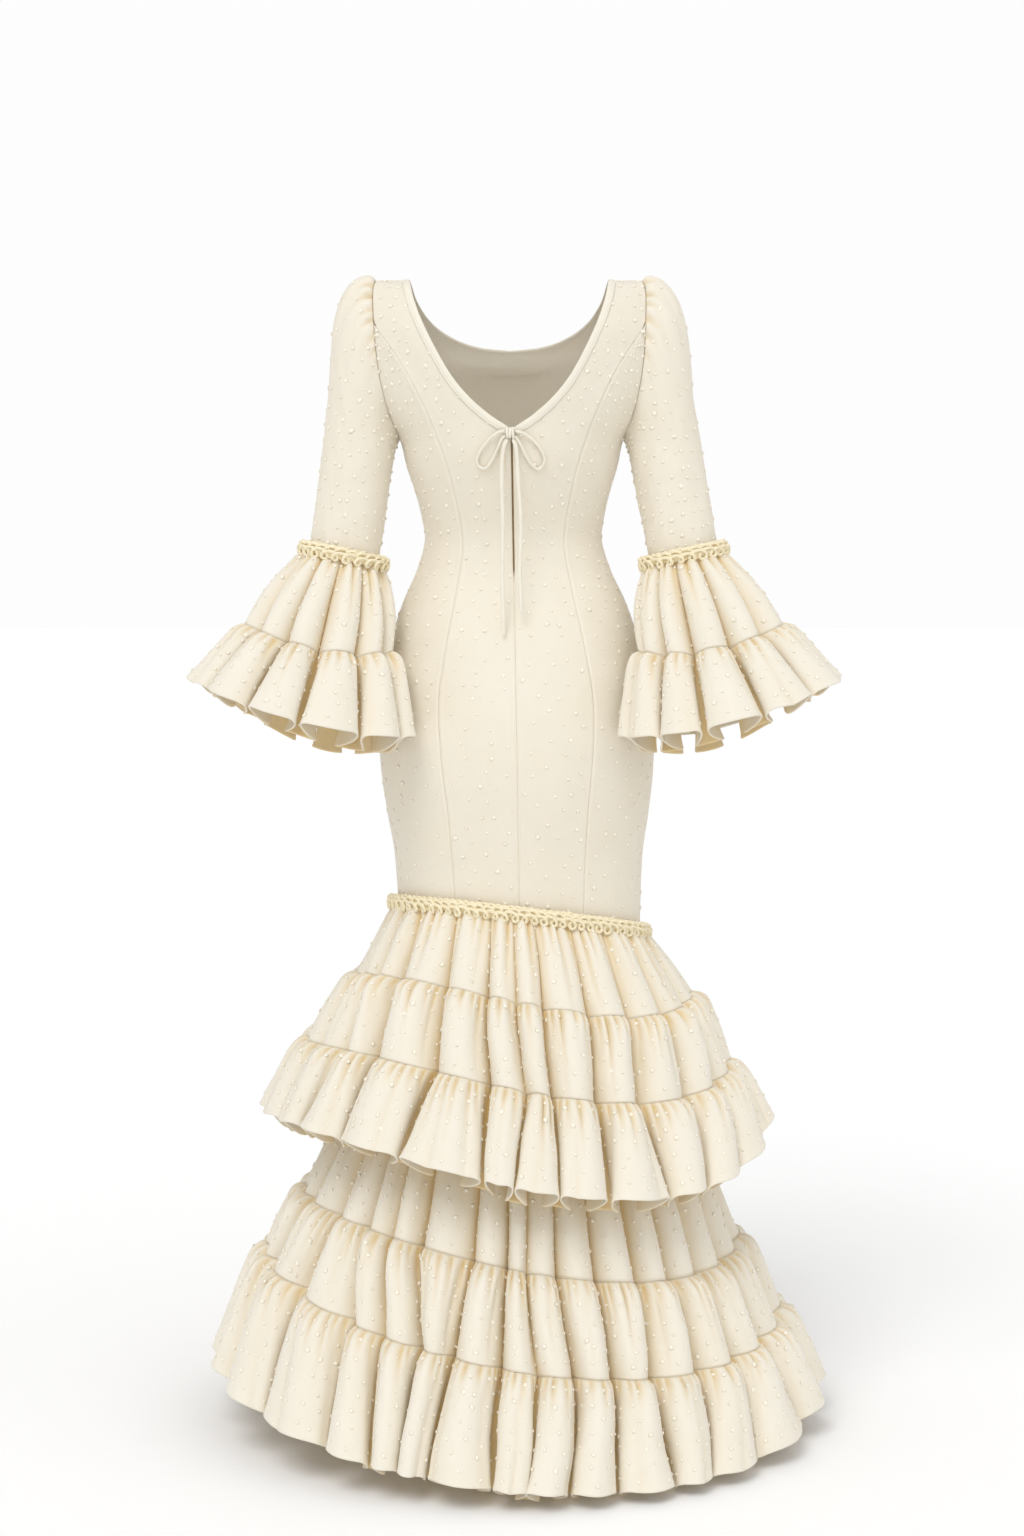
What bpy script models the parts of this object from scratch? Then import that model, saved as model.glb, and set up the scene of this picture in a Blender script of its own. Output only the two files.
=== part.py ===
"""Flamenco dress: a fitted princess-line body with long sleeves, and two groups of gathered flounces.

Run with: blender --background --python part.py

Metres, +Z up. The origin is midway between the shoulder seams, at their height, where the dress hangs
on its wearer. The front faces -Y and the wearer's left is +X. Every cloth piece is a wall of even
thickness between two skins, and neighbouring pieces stop a seam gap short of each other.

Angles round the body are in degrees: 0 is the centre back, 90 the wearer's left, 180 the centre front.
"""

import math
from collections import namedtuple

import bmesh
import bpy
from mathutils import Vector

NAME = "flamenco_dress"

CLOTH = 0.0015  # thickness of every cloth wall
SEAM = 0.0003  # gap left between two pieces that are sewn together
LEAN = 0.017  # sideways drift of the body's axis for each metre down

# ---- body: half widths and depths of the body at heights below the shoulder ----
SHOULDER_ROLL = 0.090  # height over which the cloth rolls up to the shoulder seam
ARMHOLE_BOTTOM = -0.207
NECK_BACK = -0.199  # bottom of the V
NECK_FRONT = -0.083
SLIT_BOTTOM = -0.385
SLIT_HALF_WIDTH = 0.0013
SLIT_CLOSE = 0.004  # height over which the slit closes into the seam
PRINCESS_TOP = -0.060  # where the back princess seam leaves the armhole
PRINCESS_TOP_FRONT = -0.090
POINT_DROP = 0.004  # a panel's pointed top row lies this far under the point
NORMAL_TURN = 0.05  # degrees stepped to each side when the cloth's normal is measured
NORMAL_STEP = 0.0002  # metres stepped up and down for it

Section = namedtuple("Section", "z half_width back front")
BODY = (
    Section(0.000, 0.200, 0.104, 0.100),
    Section(-0.050, 0.200, 0.106, 0.104),
    Section(-0.100, 0.196, 0.112, 0.116),
    Section(-0.140, 0.186, 0.115, 0.128),
    Section(-0.175, 0.168, 0.115, 0.137),
    Section(-0.207, 0.147, 0.113, 0.143),
    Section(-0.240, 0.139, 0.108, 0.146),
    Section(-0.280, 0.1265, 0.095, 0.135),
    Section(-0.310, 0.1195, 0.084, 0.122),
    Section(-0.339, 0.116, 0.077, 0.113),
    Section(-0.380, 0.128, 0.080, 0.113),
    Section(-0.420, 0.1465, 0.094, 0.116),
    Section(-0.480, 0.166, 0.118, 0.118),
    Section(-0.560, 0.1815, 0.134, 0.116),
    Section(-0.640, 0.1808, 0.136, 0.112),
    Section(-0.700, 0.1735, 0.129, 0.108),
    Section(-0.760, 0.1645, 0.120, 0.104),
    Section(-0.900, 0.158, 0.110, 0.098),
)

# ---- seam lines and edges of the body: distance from the centre line at each height ----
Edge = namedtuple("Edge", "z out")
NECKLINE_BACK = (
    Edge(0.000, 0.131),
    Edge(-0.030, 0.1235),
    Edge(-0.058, 0.1135),
    Edge(-0.096, 0.0955),
    Edge(-0.131, 0.0755),
    Edge(-0.158, 0.0535),
    Edge(-0.181, 0.0276),
    Edge(-0.194, 0.0080),
    Edge(NECK_BACK, 0.0013),
)
NECKLINE_FRONT = (
    Edge(0.000, 0.131),
    Edge(-0.025, 0.122),
    Edge(-0.050, 0.103),
    Edge(-0.068, 0.075),
    Edge(-0.079, 0.040),
    Edge(NECK_FRONT, 0.0),
)
ARMHOLE = (
    Edge(0.000, 0.175),
    Edge(-0.016, 0.178),
    Edge(-0.052, 0.177),
    Edge(-0.097, 0.174),
    Edge(-0.134, 0.169),
    Edge(-0.175, 0.159),
    Edge(-0.196, 0.150),
    Edge(ARMHOLE_BOTTOM, 0.147),
)
PRINCESS_BACK = (
    Edge(PRINCESS_TOP, 0.1768),
    Edge(-0.110, 0.143),
    Edge(-0.155, 0.119),
    Edge(-0.212, 0.095),
    Edge(-0.270, 0.078),
    Edge(-0.340, 0.0665),
    Edge(-0.400, 0.0745),
    Edge(-0.478, 0.090),
    Edge(-0.546, 0.100),
    Edge(-0.620, 0.098),
    Edge(-0.714, 0.089),
    Edge(-0.900, 0.080),
)
PRINCESS_FRONT = (
    Edge(PRINCESS_TOP_FRONT, 0.1745),
    Edge(-0.150, 0.126),
    Edge(-0.240, 0.091),
    Edge(-0.340, 0.062),
    Edge(-0.440, 0.079),
    Edge(-0.560, 0.096),
    Edge(-0.714, 0.089),
    Edge(-0.900, 0.080),
)
ROWS = (
    0.0, -0.004, -0.018, -0.040, -0.066, -0.100, -0.130, -0.160, -0.180, -0.192,
    -0.200, -0.240, -0.290, -0.339, -0.400, -0.480, -0.560, -0.650, -0.750,
)  # fmt: skip
UNDERARM_ROWS = (-0.198, ARMHOLE_BOTTOM - SEAM)  # rows where the side seam starts
SCOOP_BOTTOM = -0.120  # below this the front panel's rows run level
SCOOP_SIDES = (0.0, -0.045, PRINCESS_TOP_FRONT)  # heights of the rows above it, at the panel's sides

# ---- rings of the skirt: tilt is the rise to the left, pitch to the back, sag at the back and front,
# and skew the further rise of the back and front towards the left ----
Ring = namedtuple("Ring", "half_width half_depth centre mean tilt pitch sag skew fold")
HIP_SEAM = Ring(0.160, 0.112, -0.0145, -0.843, 0.020, 0.019, 0.0, 0.0, 0.0)
UPPER_1 = Ring(0.226, 0.198, -0.021, -0.930, 0.009, 0.008, -0.002, 0.018, 0.022)
UPPER_2 = Ring(0.285, 0.255, -0.013, -1.018, 0.009, 0.004, -0.010, 0.023, 0.036)
UPPER_HEM = Ring(0.345, 0.318, -0.010, -1.110, 0.004, 0.0, -0.026, 0.032, 0.058)
LOWER_TOP = Ring(0.213, 0.190, -0.016, -1.090, 0.010, 0.0, 0.0, 0.0, 0.006)
LOWER_1 = Ring(0.293, 0.272, -0.017, -1.238, 0.029, 0.0, -0.012, 0.013, 0.030)
LOWER_2 = Ring(0.348, 0.328, -0.019, -1.322, 0.041, 0.0, -0.040, 0.006, 0.045)
LOWER_HEM = Ring(0.416, 0.392, -0.013, -1.442, 0.018, 0.0, -0.050, 0.008, 0.068)
HEM_DROP = 0.015  # how much lower a hem hangs in a valley than on the crest beside it
RING_REACH = 0.12  # rounds off a ring's sag and skew where it passes the sides
BASE_INSET = 0.0045  # the base skirt starts this far inside the hip seam
BASE_COLUMNS = 24

# ---- folds: the angle of each valley at the top, middle and hem of a group, and its share of the depth ----
Fold = namedtuple("Fold", "top middle hem depth")
UPPER_FOLDS = (
    Fold(74, 70, 68, 0.8),
    Fold(61, 54, 57, 0.9),
    Fold(49, 44, 43, 1.0),
    Fold(29, 24, 27, 1.0),
    Fold(13, 8, 7, 0.9),
    Fold(3, -2, 1, 0.45),
    Fold(-6, -9, -9, 0.8),
    Fold(-23, -22, -20, 1.0),
    Fold(-39, -35, -36, 1.0),
    Fold(-56, -53, -47, 0.9),
    Fold(-73, -68, -60, 0.9),
    Fold(-87, -83, -77, 0.9),
    Fold(-101, -97, -94, 0.9),
    Fold(-115, -112, -110, 1.0),
    Fold(-129, -127, -125, 0.9),
    Fold(-143, -141, -142, 1.0),
    Fold(-156, -157, -156, 0.8),
    Fold(-170, -171, -172, 0.9),
    Fold(-185, -186, -187, 1.0),
    Fold(-200, -200, -201, 0.9),
    Fold(-213, -214, -216, 0.8),
    Fold(-227, -229, -230, 1.0),
    Fold(-242, -243, -244, 0.9),
    Fold(-257, -260, -263, 1.0),
    Fold(-272, -275, -277, 0.8),
)
LOWER_FOLDS = (
    Fold(72, 67, 67, 0.9),
    Fold(56, 56, 53, 0.9),
    Fold(43, 40, 38, 1.0),
    Fold(28, 22, 27, 1.0),
    Fold(18, 14, 18, 0.8),
    Fold(7, 4, 5, 0.9),
    Fold(-1, -3, -1, 0.5),
    Fold(-9, -11, -9, 0.9),
    Fold(-20, -20, -18, 1.0),
    Fold(-32, -29, -29, 0.9),
    Fold(-42, -42, -37, 0.9),
    Fold(-53, -54, -49, 0.9),
    Fold(-66, -67, -68, 1.0),
    Fold(-81, -81, -83, 0.9),
    Fold(-95, -96, -96, 0.8),
    Fold(-108, -109, -108, 1.0),
    Fold(-121, -121, -122, 0.9),
    Fold(-134, -135, -134, 0.9),
    Fold(-147, -146, -147, 1.0),
    Fold(-159, -160, -161, 0.8),
    Fold(-171, -171, -172, 0.9),
    Fold(-183, -184, -183, 1.0),
    Fold(-195, -195, -196, 0.9),
    Fold(-208, -207, -208, 0.9),
    Fold(-221, -222, -222, 1.0),
    Fold(-234, -234, -233, 0.8),
    Fold(-247, -248, -249, 0.9),
    Fold(-261, -262, -262, 1.0),
    Fold(-275, -277, -277, 0.9),
)
STEPS = 3  # columns to a fold
FOLD_CROWN = 0.65  # below 1, the crests are rounder and the valleys narrower
FOLD_PINCH = 0.5  # how far a fold's columns crowd towards its valleys

# ---- sleeves, drawn for a left arm beside an upright body, then mirrored and leaned. Angle 0 is the
# outer side, 90 the back and 180 the underarm ----
SLEEVE_COLUMNS = 14
CAP_STEPS = 3
TUBE_STEPS = 2
ARMHOLE_GAP = 0.0013
HEAD_WAY = Vector((0.7, 0, 0.7))  # the way in which a sleeve's head starts off the armhole
CAP_RISE = 0.5  # how high the bend of the sleeve's head lies between the armhole and the upper arm
CAP_ROUND = 0.58  # how much higher it lies on the outer side
CAP_SPREAD = 0.5  # how far out it lies, and how much further on the outer side
UNDERARM_LIFT = 0.0021  # the sleeve's underarm starts this far outside the side seam
BICEP = Vector((0.1965, 0.008, -0.186))
BICEP_RADIUS = Vector((0.0422, 0.050, 0.036))  # out, back, and rise of the slanted ring
CUFF = Vector((0.2235, 0.030, -0.362))
CUFF_RADIUS = Vector((0.0445, 0.045, 0.0098))

# Rings of the sleeve flounces, centred on the arm. Angle 0 is the back and 90 the outer side.
CuffRing = namedtuple("CuffRing", "half_width half_depth out back z rise droop fold")
CUFF_SEAM = CuffRing(0.100, 0.082, 0.250, 0.072, -0.464, 0.0185, 0.022, 0.020)
CUFF_HEM = CuffRing(0.157, 0.116, 0.274, 0.108, -0.554, 0.0345, 0.044, 0.040)
HIP_CLEARANCE = 0.020  # softness of the push that keeps the flounces off the hip
Side = namedtuple("Side", "name sign folds")
SIDES = (
    Side("left", 1, (57, 28, 0, -35, -66, -98, -131, -165, -199, -234, -269)),
    Side("right", -1, (46, 16, -17, -43, -72, -103, -135, -168, -201, -236, -274)),
)

# ---- trimmings ----
BINDING_WIDTH = 0.009
BINDING = 0.0010  # thickness
BINDING_BACK = (NECK_BACK, -0.1965, -0.190, -0.175, -0.158, -0.131, -0.096, -0.066, -0.040, -0.018, -0.004)
BINDING_FRONT = (-0.004, -0.018, -0.035, -0.050, -0.068, -0.079)
LIFT = CLOTH / 2 + 3 * SEAM  # from a panel's middle to the underside of what lies on it
HIP_TRIM = ((0.0022, 0.0095), (0.0180, 0.0095), (0.0180, -0.0055), (0.0085, -0.0055))
CUFF_TRIM = ((0.0022, 0.0095), (0.0150, 0.0095), (0.0150, -0.0045), (0.0085, -0.0045))
HIP_TRIM_COLUMNS = 40
CUFF_TRIM_COLUMNS = 20

ZIP_HALF_WIDTH = 0.003
ZIP_DEPTH = 0.0014  # gap between the panels and the zip behind them
ZIP_THICKNESS = 0.0010
ZIP_TOP = 0.006  # the zip starts this far under the V and ends this far under the slit
ZIP_END = 0.010
ZIP_ROWS = 9

KNOT = Vector((-0.0014, 0.0078, -0.2038))  # y is measured from the cloth
KNOT_RADIUS = Vector((0.0055, 0.0050, 0.0070))
LOOP_DIAMETER = 0.0040
TIE_DIAMETER = 0.0045
CORD_STEP = 0.0125  # spacing of the points along a tie
CORD_ROUNDNESS = 2
Cord = namedtuple("Cord", "name diameter route")  # a route's points are (x, clearance off the cloth, z)
LOOPS = (
    Cord("bow_loop_left", LOOP_DIAMETER, (
        (0.0046, 0.0078, -0.2008), (0.016, 0.0062, -0.2045), (0.030, 0.0048, -0.2170),
        (0.0400, 0.0040, -0.2335), (0.0395, 0.0040, -0.2440), (0.0310, 0.0040, -0.2485),
        (0.0225, 0.0042, -0.2400), (0.0145, 0.0050, -0.2240), (0.0095, 0.0066, -0.2125),
        (0.0046, 0.0078, -0.2072),
    )),
    Cord("bow_loop_right", LOOP_DIAMETER, (
        (-0.0074, 0.0078, -0.2012), (-0.0190, 0.0062, -0.2045), (-0.0310, 0.0050, -0.2130),
        (-0.0425, 0.0042, -0.2275), (-0.0455, 0.0040, -0.2400), (-0.0380, 0.0040, -0.2490),
        (-0.0290, 0.0042, -0.2435), (-0.0205, 0.0050, -0.2300), (-0.0135, 0.0064, -0.2165),
        (-0.0074, 0.0078, -0.2076),
    )),
)  # fmt: skip
TIE_Y = 0.1185  # the tie ends hang plumb at this distance behind the shoulder line
TIES = (
    Cord("tie_end_left", TIE_DIAMETER, (
        (0.0015, 0.1215, -0.2116), (0.0060, 0.1210, -0.2200), (0.0086, TIE_Y, -0.2420),
        (0.0086, TIE_Y, -0.3000), (0.0080, TIE_Y, -0.3800), (0.0069, TIE_Y, -0.4605),
    )),
    Cord("tie_end_right", TIE_DIAMETER, (
        (-0.0045, 0.1215, -0.2116), (-0.0088, 0.1210, -0.2210), (-0.0112, TIE_Y, -0.2450),
        (-0.0148, TIE_Y, -0.3300), (-0.0143, TIE_Y, -0.3890), (-0.0163, TIE_Y, -0.4343),
    )),
)  # fmt: skip

SHARP_ANGLE = math.radians(50)
MITRE_LIMIT = 0.4  # least cosine by which a mitred corner is lengthened

Finish = namedtuple("Finish", "colour roughness metallic")
FINISHES = {
    "crepe": Finish((0.86, 0.80, 0.69, 1.0), 0.75, 0.0),
    "lace": Finish((0.88, 0.83, 0.73, 1.0), 0.85, 0.0),
    "binding": Finish((0.87, 0.81, 0.70, 1.0), 0.70, 0.0),
    "cord": Finish((0.84, 0.78, 0.67, 1.0), 0.70, 0.0),
    "zip": Finish((0.30, 0.20, 0.10, 1.0), 0.45, 0.6),
}


def between(rows, z, column):
    """A column of a table at height z, by a smooth curve through its rows, which run downwards."""
    values = [getattr(row, column) for row in rows]
    heights = [row.z for row in rows]
    z = min(max(z, heights[-1]), heights[0])
    at = next(i for i in range(len(rows) - 1) if z >= heights[i + 1])

    def slope(i):
        low, high = max(i - 1, 0), min(i + 1, len(rows) - 1)
        return (values[high] - values[low]) / (heights[high] - heights[low])

    span = heights[at + 1] - heights[at]
    t = (z - heights[at]) / span
    start = (1 + 2 * t) * (1 - t) ** 2 * values[at] + t * (1 - t) ** 2 * span * slope(at)
    end = t * t * (3 - 2 * t) * values[at + 1] - t * t * (1 - t) * span * slope(at + 1)
    return start + end


def station(z):
    """Distance down the cloth from the shoulder seam to height z."""
    if z < -SHOULDER_ROLL:
        return SHOULDER_ROLL * math.pi / 2 - SHOULDER_ROLL - z
    return SHOULDER_ROLL * (math.pi / 2 - math.asin(min(1.0, 1 + z / SHOULDER_ROLL)))


def height(s):
    if s > SHOULDER_ROLL * math.pi / 2:
        return SHOULDER_ROLL * (math.pi / 2 - 1) - s
    return SHOULDER_ROLL * (math.cos(s / SHOULDER_ROLL) - 1)


def body(angle, s):
    """The point of the body's cloth at an angle and at a distance s down from the shoulder seam."""
    z = height(s)
    depth = between(BODY, z, "back") if abs(angle) <= 90 else between(BODY, z, "front")
    roll = math.sin(min(s / SHOULDER_ROLL, math.pi / 2))
    turn = math.radians(angle)
    x = LEAN * z + between(BODY, z, "half_width") * math.sin(turn)
    return Vector((x, depth * roll * math.cos(turn), z))


def body_normal(angle, s):
    """The outward normal of the body's cloth."""
    across = body(angle + NORMAL_TURN, s) - body(angle - NORMAL_TURN, s)
    down = body(angle, s + NORMAL_STEP) - body(angle, max(s - NORMAL_STEP, 0.0))
    normal = across.cross(down).normalized()
    turn = math.radians(angle)
    outwards = Vector((math.sin(turn), math.cos(turn), 0.1))
    return normal if normal.dot(outwards) > 0 else -normal


def edge_angle(edge, z, front=False):
    """The angle at which an edge, given by its distance from the centre line, crosses height z."""
    share = between(edge, z, "out") / between(BODY, z, "half_width")
    angle = math.degrees(math.asin(min(1.0, share)))
    return 180 - angle if front else angle


def seam_step(angle, s, width):
    """The angle that spans a width on the cloth."""
    return width / ((body(angle + 0.5, s) - body(angle - 0.5, s)).length)


def ring_height(ring, angle):
    side, back = math.sin(math.radians(angle)), math.cos(math.radians(angle))
    reach = math.hypot(back, RING_REACH)
    slope = ring.tilt * side + ring.pitch * back
    return ring.mean + slope + ring.sag * reach + 2 * ring.skew * side * reach


def ring_point(ring, angle, depth=0.0):
    """A point on a skirt ring, moved inwards by depth."""
    if ring is HIP_SEAM:
        return body(angle, station(ring_height(ring, angle)))
    turn = math.radians(angle)
    x = ring.centre + (ring.half_width - depth) * math.sin(turn)
    y = (ring.half_depth - depth) * math.cos(turn)
    return Vector((x, y, ring_height(ring, angle)))


def wall(name, rows, offsets, finish, closed=False):
    """A cloth piece: rows of middle points, and the half thickness that each is moved out and in by."""
    form = bmesh.new()
    skins = []
    for sign in (1, -1):
        skins.append([[form.verts.new(p + o * sign) for p, o in zip(*row)] for row in zip(rows, offsets)])
    count, width = len(rows), len(rows[0])
    columns = width if closed else width - 1
    for skin in skins:
        for i in range(count - 1):
            for j in range(columns):
                k = (j + 1) % width
                form.faces.new((skin[i][j], skin[i][k], skin[i + 1][k], skin[i + 1][j]))
    outer, inner = skins
    for i in (0, count - 1):
        for j in range(columns):
            k = (j + 1) % width
            form.faces.new((outer[i][j], outer[i][k], inner[i][k], inner[i][j]))
    for j in () if closed else (0, width - 1):
        for i in range(count - 1):
            form.faces.new((outer[i][j], outer[i + 1][j], inner[i + 1][j], inner[i][j]))
    bmesh.ops.recalc_face_normals(form, faces=form.faces)
    return add_mesh(name, form, finish)


def add_mesh(name, form, finish):
    mesh = bpy.data.meshes.new(name)
    form.to_mesh(mesh)
    form.free()
    mesh.shade_smooth()
    mesh.set_sharp_from_angle(angle=SHARP_ANGLE)
    return add_object(bpy.data.objects.new(name, mesh), finish)


def add_object(piece, finish):
    look = FINISHES[finish]
    material = bpy.data.materials.new(piece.name + "_" + finish)
    material.use_nodes = True
    shader = material.node_tree.nodes["Principled BSDF"]
    shader.inputs["Base Color"].default_value = look.colour
    shader.inputs["Roughness"].default_value = look.roughness
    shader.inputs["Metallic"].default_value = look.metallic
    piece.data.materials.append(material)
    bpy.data.collections[NAME].objects.link(piece)
    piece.parent = bpy.data.objects[NAME + "_axis"]
    return piece


def panel(name, left, right, rows, columns=2):
    """A body panel from its top rows to the hip seam, between two edges that give an angle at height z."""
    points, offsets = [], []
    for z in rows + (None,):
        row = []
        low = ROWS[-1] if z is None else z
        for j in range(columns + 1):
            share = j / columns
            if z is None:
                angle = hip_angle(left, share, right)
                s = station(ring_height(HIP_SEAM, angle) + SEAM / 2)
            else:
                angle = left(z) * (1 - share) + right(z) * share
                s = station(z)
            if j in (0, columns):
                inwards = 1 if (right(low) > left(low)) == (j == 0) else -1
                angle += inwards * seam_step(angle, s, SEAM / 2)
            row.append((angle, s))
        points.append([body(*at) for at in row])
        offsets.append([body_normal(*at) * CLOTH / 2 for at in row])
    offsets[-1] = [level_half(o) for o in offsets[-1]]
    return wall(name, points, offsets, "crepe")


def level_half(offset):
    """A half thickness turned level, as the rims at the hip seam are."""
    return Vector((offset.x, offset.y, 0)).normalized() * CLOTH / 2


def hip_angle(left, share, right):
    """The angle of a column where it reaches the sloping hip seam."""
    angle = left(ROWS[-1]) * (1 - share) + right(ROWS[-1]) * share
    for _ in range(4):
        z = ring_height(HIP_SEAM, angle)
        angle = left(z) * (1 - share) + right(z) * share
    return angle


def make_back():
    def slit(z):
        """Half the width of the opening at the centre back, as an angle."""
        if z > NECK_BACK:
            return edge_angle(NECKLINE_BACK, z)
        half = SLIT_HALF_WIDTH if z > SLIT_BOTTOM else 0.0
        return math.degrees(half / between(BODY, z, "half_width"))

    def seam(z):
        return edge_angle(PRINCESS_BACK if z < PRINCESS_TOP else ARMHOLE, z)

    def side(z):
        return edge_angle(ARMHOLE, z) if z > ARMHOLE_BOTTOM else 90.0

    centre_rows = ROWS[:14] + (SLIT_BOTTOM, SLIT_BOTTOM - SLIT_CLOSE) + ROWS[15:]
    side_rows = (PRINCESS_TOP - POINT_DROP,) + ROWS[5:9] + UNDERARM_ROWS + ROWS[11:]
    for name, sign in (("left", 1), ("right", -1)):
        panel("back_" + name, lambda z: sign * slit(z), lambda z: sign * seam(z), centre_rows)
        panel("back_side_" + name, lambda z: sign * seam(z), lambda z: sign * side(z), side_rows)


def make_front():
    def seam(z):
        return edge_angle(PRINCESS_FRONT if z < PRINCESS_TOP_FRONT else ARMHOLE, z, front=True)

    def side(z):
        return edge_angle(ARMHOLE, z, front=True) if z > ARMHOLE_BOTTOM else 90.0

    side_rows = (PRINCESS_TOP_FRONT - POINT_DROP, SCOOP_BOTTOM) + ROWS[7:9] + UNDERARM_ROWS + ROWS[11:]
    for name, sign in (("left", 1), ("right", -1)):
        panel("front_side_" + name, lambda z: sign * seam(z), lambda z: sign * side(z), side_rows)

    # The centre panel's columns fan out from the scoop and from the two shoulder seams.
    tops = [(edge_angle(ARMHOLE, 0.0, front=True), 0.0)]
    tops += [(edge_angle(NECKLINE_FRONT, edge.z, front=True), edge.z) for edge in NECKLINE_FRONT]
    tops += [(360 - angle, z) for angle, z in reversed(tops[:-1])]
    low = seam(SCOOP_BOTTOM)
    columns = len(tops) - 1
    grid = []
    for step, side_z in enumerate(SCOOP_SIDES):
        share = step / len(SCOOP_SIDES)
        row = []
        for j, (angle, z) in enumerate(tops):
            below = low + (360 - 2 * low) * j / columns
            s = station(z) * (1 - share) + station(SCOOP_BOTTOM) * share
            row.append((angle * (1 - share) + below * share, s))
        row[0] = (seam(side_z), station(side_z))
        row[-1] = (360 - seam(side_z), station(side_z))
        grid.append(row)
    for z in (SCOOP_BOTTOM,) + ROWS[7:9] + ROWS[10:] + (None,):
        row = []
        for j in range(columns + 1):
            share = j / columns
            if z is None:
                angle = hip_angle(seam, share, lambda low: 360 - seam(low))
                row.append((angle, station(ring_height(HIP_SEAM, angle) + SEAM / 2)))
            else:
                row.append((seam(z) * (1 - share) + (360 - seam(z)) * share, station(z)))
        grid.append(row)
    for row in grid:
        for j, inwards in ((0, 1), (columns, -1)):
            angle, s = row[j]
            row[j] = (angle + inwards * seam_step(angle, s, SEAM / 2), s)
    signed = [[(angle if angle <= 180 else angle - 360, s) for angle, s in row] for row in grid]
    points = [[body(*at) for at in row] for row in signed]
    points[0] = [p - Vector((0, SEAM, 0)) for p in points[0]]
    offsets = [[body_normal(*at) * CLOTH / 2 for at in row] for row in signed]
    offsets[-1] = [level_half(o) for o in offsets[-1]]
    wall("front_centre", points, offsets, "crepe")


def make_zip():
    points, offsets = [], []
    for i in range(ZIP_ROWS):
        share = i / (ZIP_ROWS - 1)
        z = (NECK_BACK - ZIP_TOP) * (1 - share) + (SLIT_BOTTOM - ZIP_END) * share
        s = station(z)
        turn = math.degrees(ZIP_HALF_WIDTH / between(BODY, z, "half_width"))
        depth = CLOTH / 2 + ZIP_DEPTH + ZIP_THICKNESS / 2
        normal = body_normal(0.0, s)
        points.append([body(a, s) - normal * depth for a in (turn, -turn)])
        offsets.append([normal * ZIP_THICKNESS / 2] * 2)
    wall("zip", points, offsets, "zip")


def make_binding():
    """The bias strip that finishes the neck: down the V, over the shoulders and round the front."""
    half = [(edge_angle(NECKLINE_BACK, z), z) for z in BINDING_BACK]
    half += [(edge_angle(NECKLINE_FRONT, 0.0), 0.0)]
    half += [(edge_angle(NECKLINE_FRONT, z, True), z) for z in BINDING_FRONT]
    loop = half + [(180.0, NECK_FRONT)] + [(-angle, z) for angle, z in reversed(half)]
    loop = [(angle, station(z)) for angle, z in loop]
    edge = [body(*at) for at in loop]
    normals = [body_normal(*at) for at in loop]
    inner = []
    for i, (point, normal) in enumerate(zip(edge, normals)):
        along = edge[(i + 1) % len(edge)] - edge[i - 1]
        inner.append(point + normal.cross(along).normalized() * BINDING_WIDTH)
    lift = LIFT + BINDING / 2
    rows = [[p + n * lift for p, n in zip(row, normals)] for row in (edge, inner)]
    wall("neck_binding", rows, [[n * BINDING / 2 for n in normals]] * 2, "binding", closed=True)


def armhole(angle):
    """The point of the left armhole at an angle round the arm, and the cloth's normal there."""
    z = ARMHOLE_BOTTOM * (1 - math.cos(math.radians(angle))) / 2
    front = math.sin(math.radians(angle)) < -1e-6
    at = (edge_angle(ARMHOLE, z, front), station(z))
    return body(*at) - Vector((LEAN * z, 0, 0)), body_normal(*at)


def arm_ring(centre, radius, angle):
    turn = math.radians(angle)
    out, back = math.cos(turn), math.sin(turn)
    return centre + Vector((radius.x * out, radius.y * back, radius.z * out))


def make_sleeve(side):
    angles = [360 * i / SLEEVE_COLUMNS for i in range(SLEEVE_COLUMNS)]
    lines = []
    for angle in angles:
        seam, normal = armhole(angle)
        under = math.sin(math.radians(angle / 2)) ** 6
        start = seam + HEAD_WAY * ARMHOLE_GAP + normal * UNDERARM_LIFT * under
        bicep = arm_ring(BICEP, BICEP_RADIUS, angle)
        outer = math.cos(math.radians(angle / 2)) ** 2
        rise = CAP_RISE - CAP_ROUND * outer
        spread = CAP_SPREAD * (1 + outer)
        bend = Vector((
            start.x + (bicep.x - start.x) * spread,
            (start.y + bicep.y) / 2,
            start.z + (bicep.z - start.z) * rise,
        ))  # fmt: skip
        line = []
        for i in range(CAP_STEPS):
            t = i / CAP_STEPS
            line.append(start * (1 - t) ** 2 + bend * 2 * t * (1 - t) + bicep * t * t)
        end = arm_ring(CUFF, CUFF_RADIUS, angle)
        line += [bicep.lerp(end, i / TUBE_STEPS) for i in range(TUBE_STEPS + 1)]
        lines.append(line)
    rows = [list(row) for row in zip(*lines)]
    offsets = tube_offsets(rows)
    offsets[0] = [armhole(angle)[1] * CLOTH / 2 for angle in angles]
    rows[-1] = [p + Vector((0, 0, SEAM / 2)) for p in rows[-1]]
    offsets[-1] = level_offsets(rows[-1])
    return wall("sleeve_" + side.name, placed(rows, side), mirrored(offsets, side), "crepe", closed=True)


def mirrored(rows, side):
    return [[Vector((p.x * side.sign, p.y, p.z)) for p in row] for row in rows]


def placed(rows, side):
    """Points drawn for an upright left arm, moved to their own side of the leaning body."""
    return [[p + Vector((LEAN * p.z, 0, 0)) for p in row] for row in mirrored(rows, side)]


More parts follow.
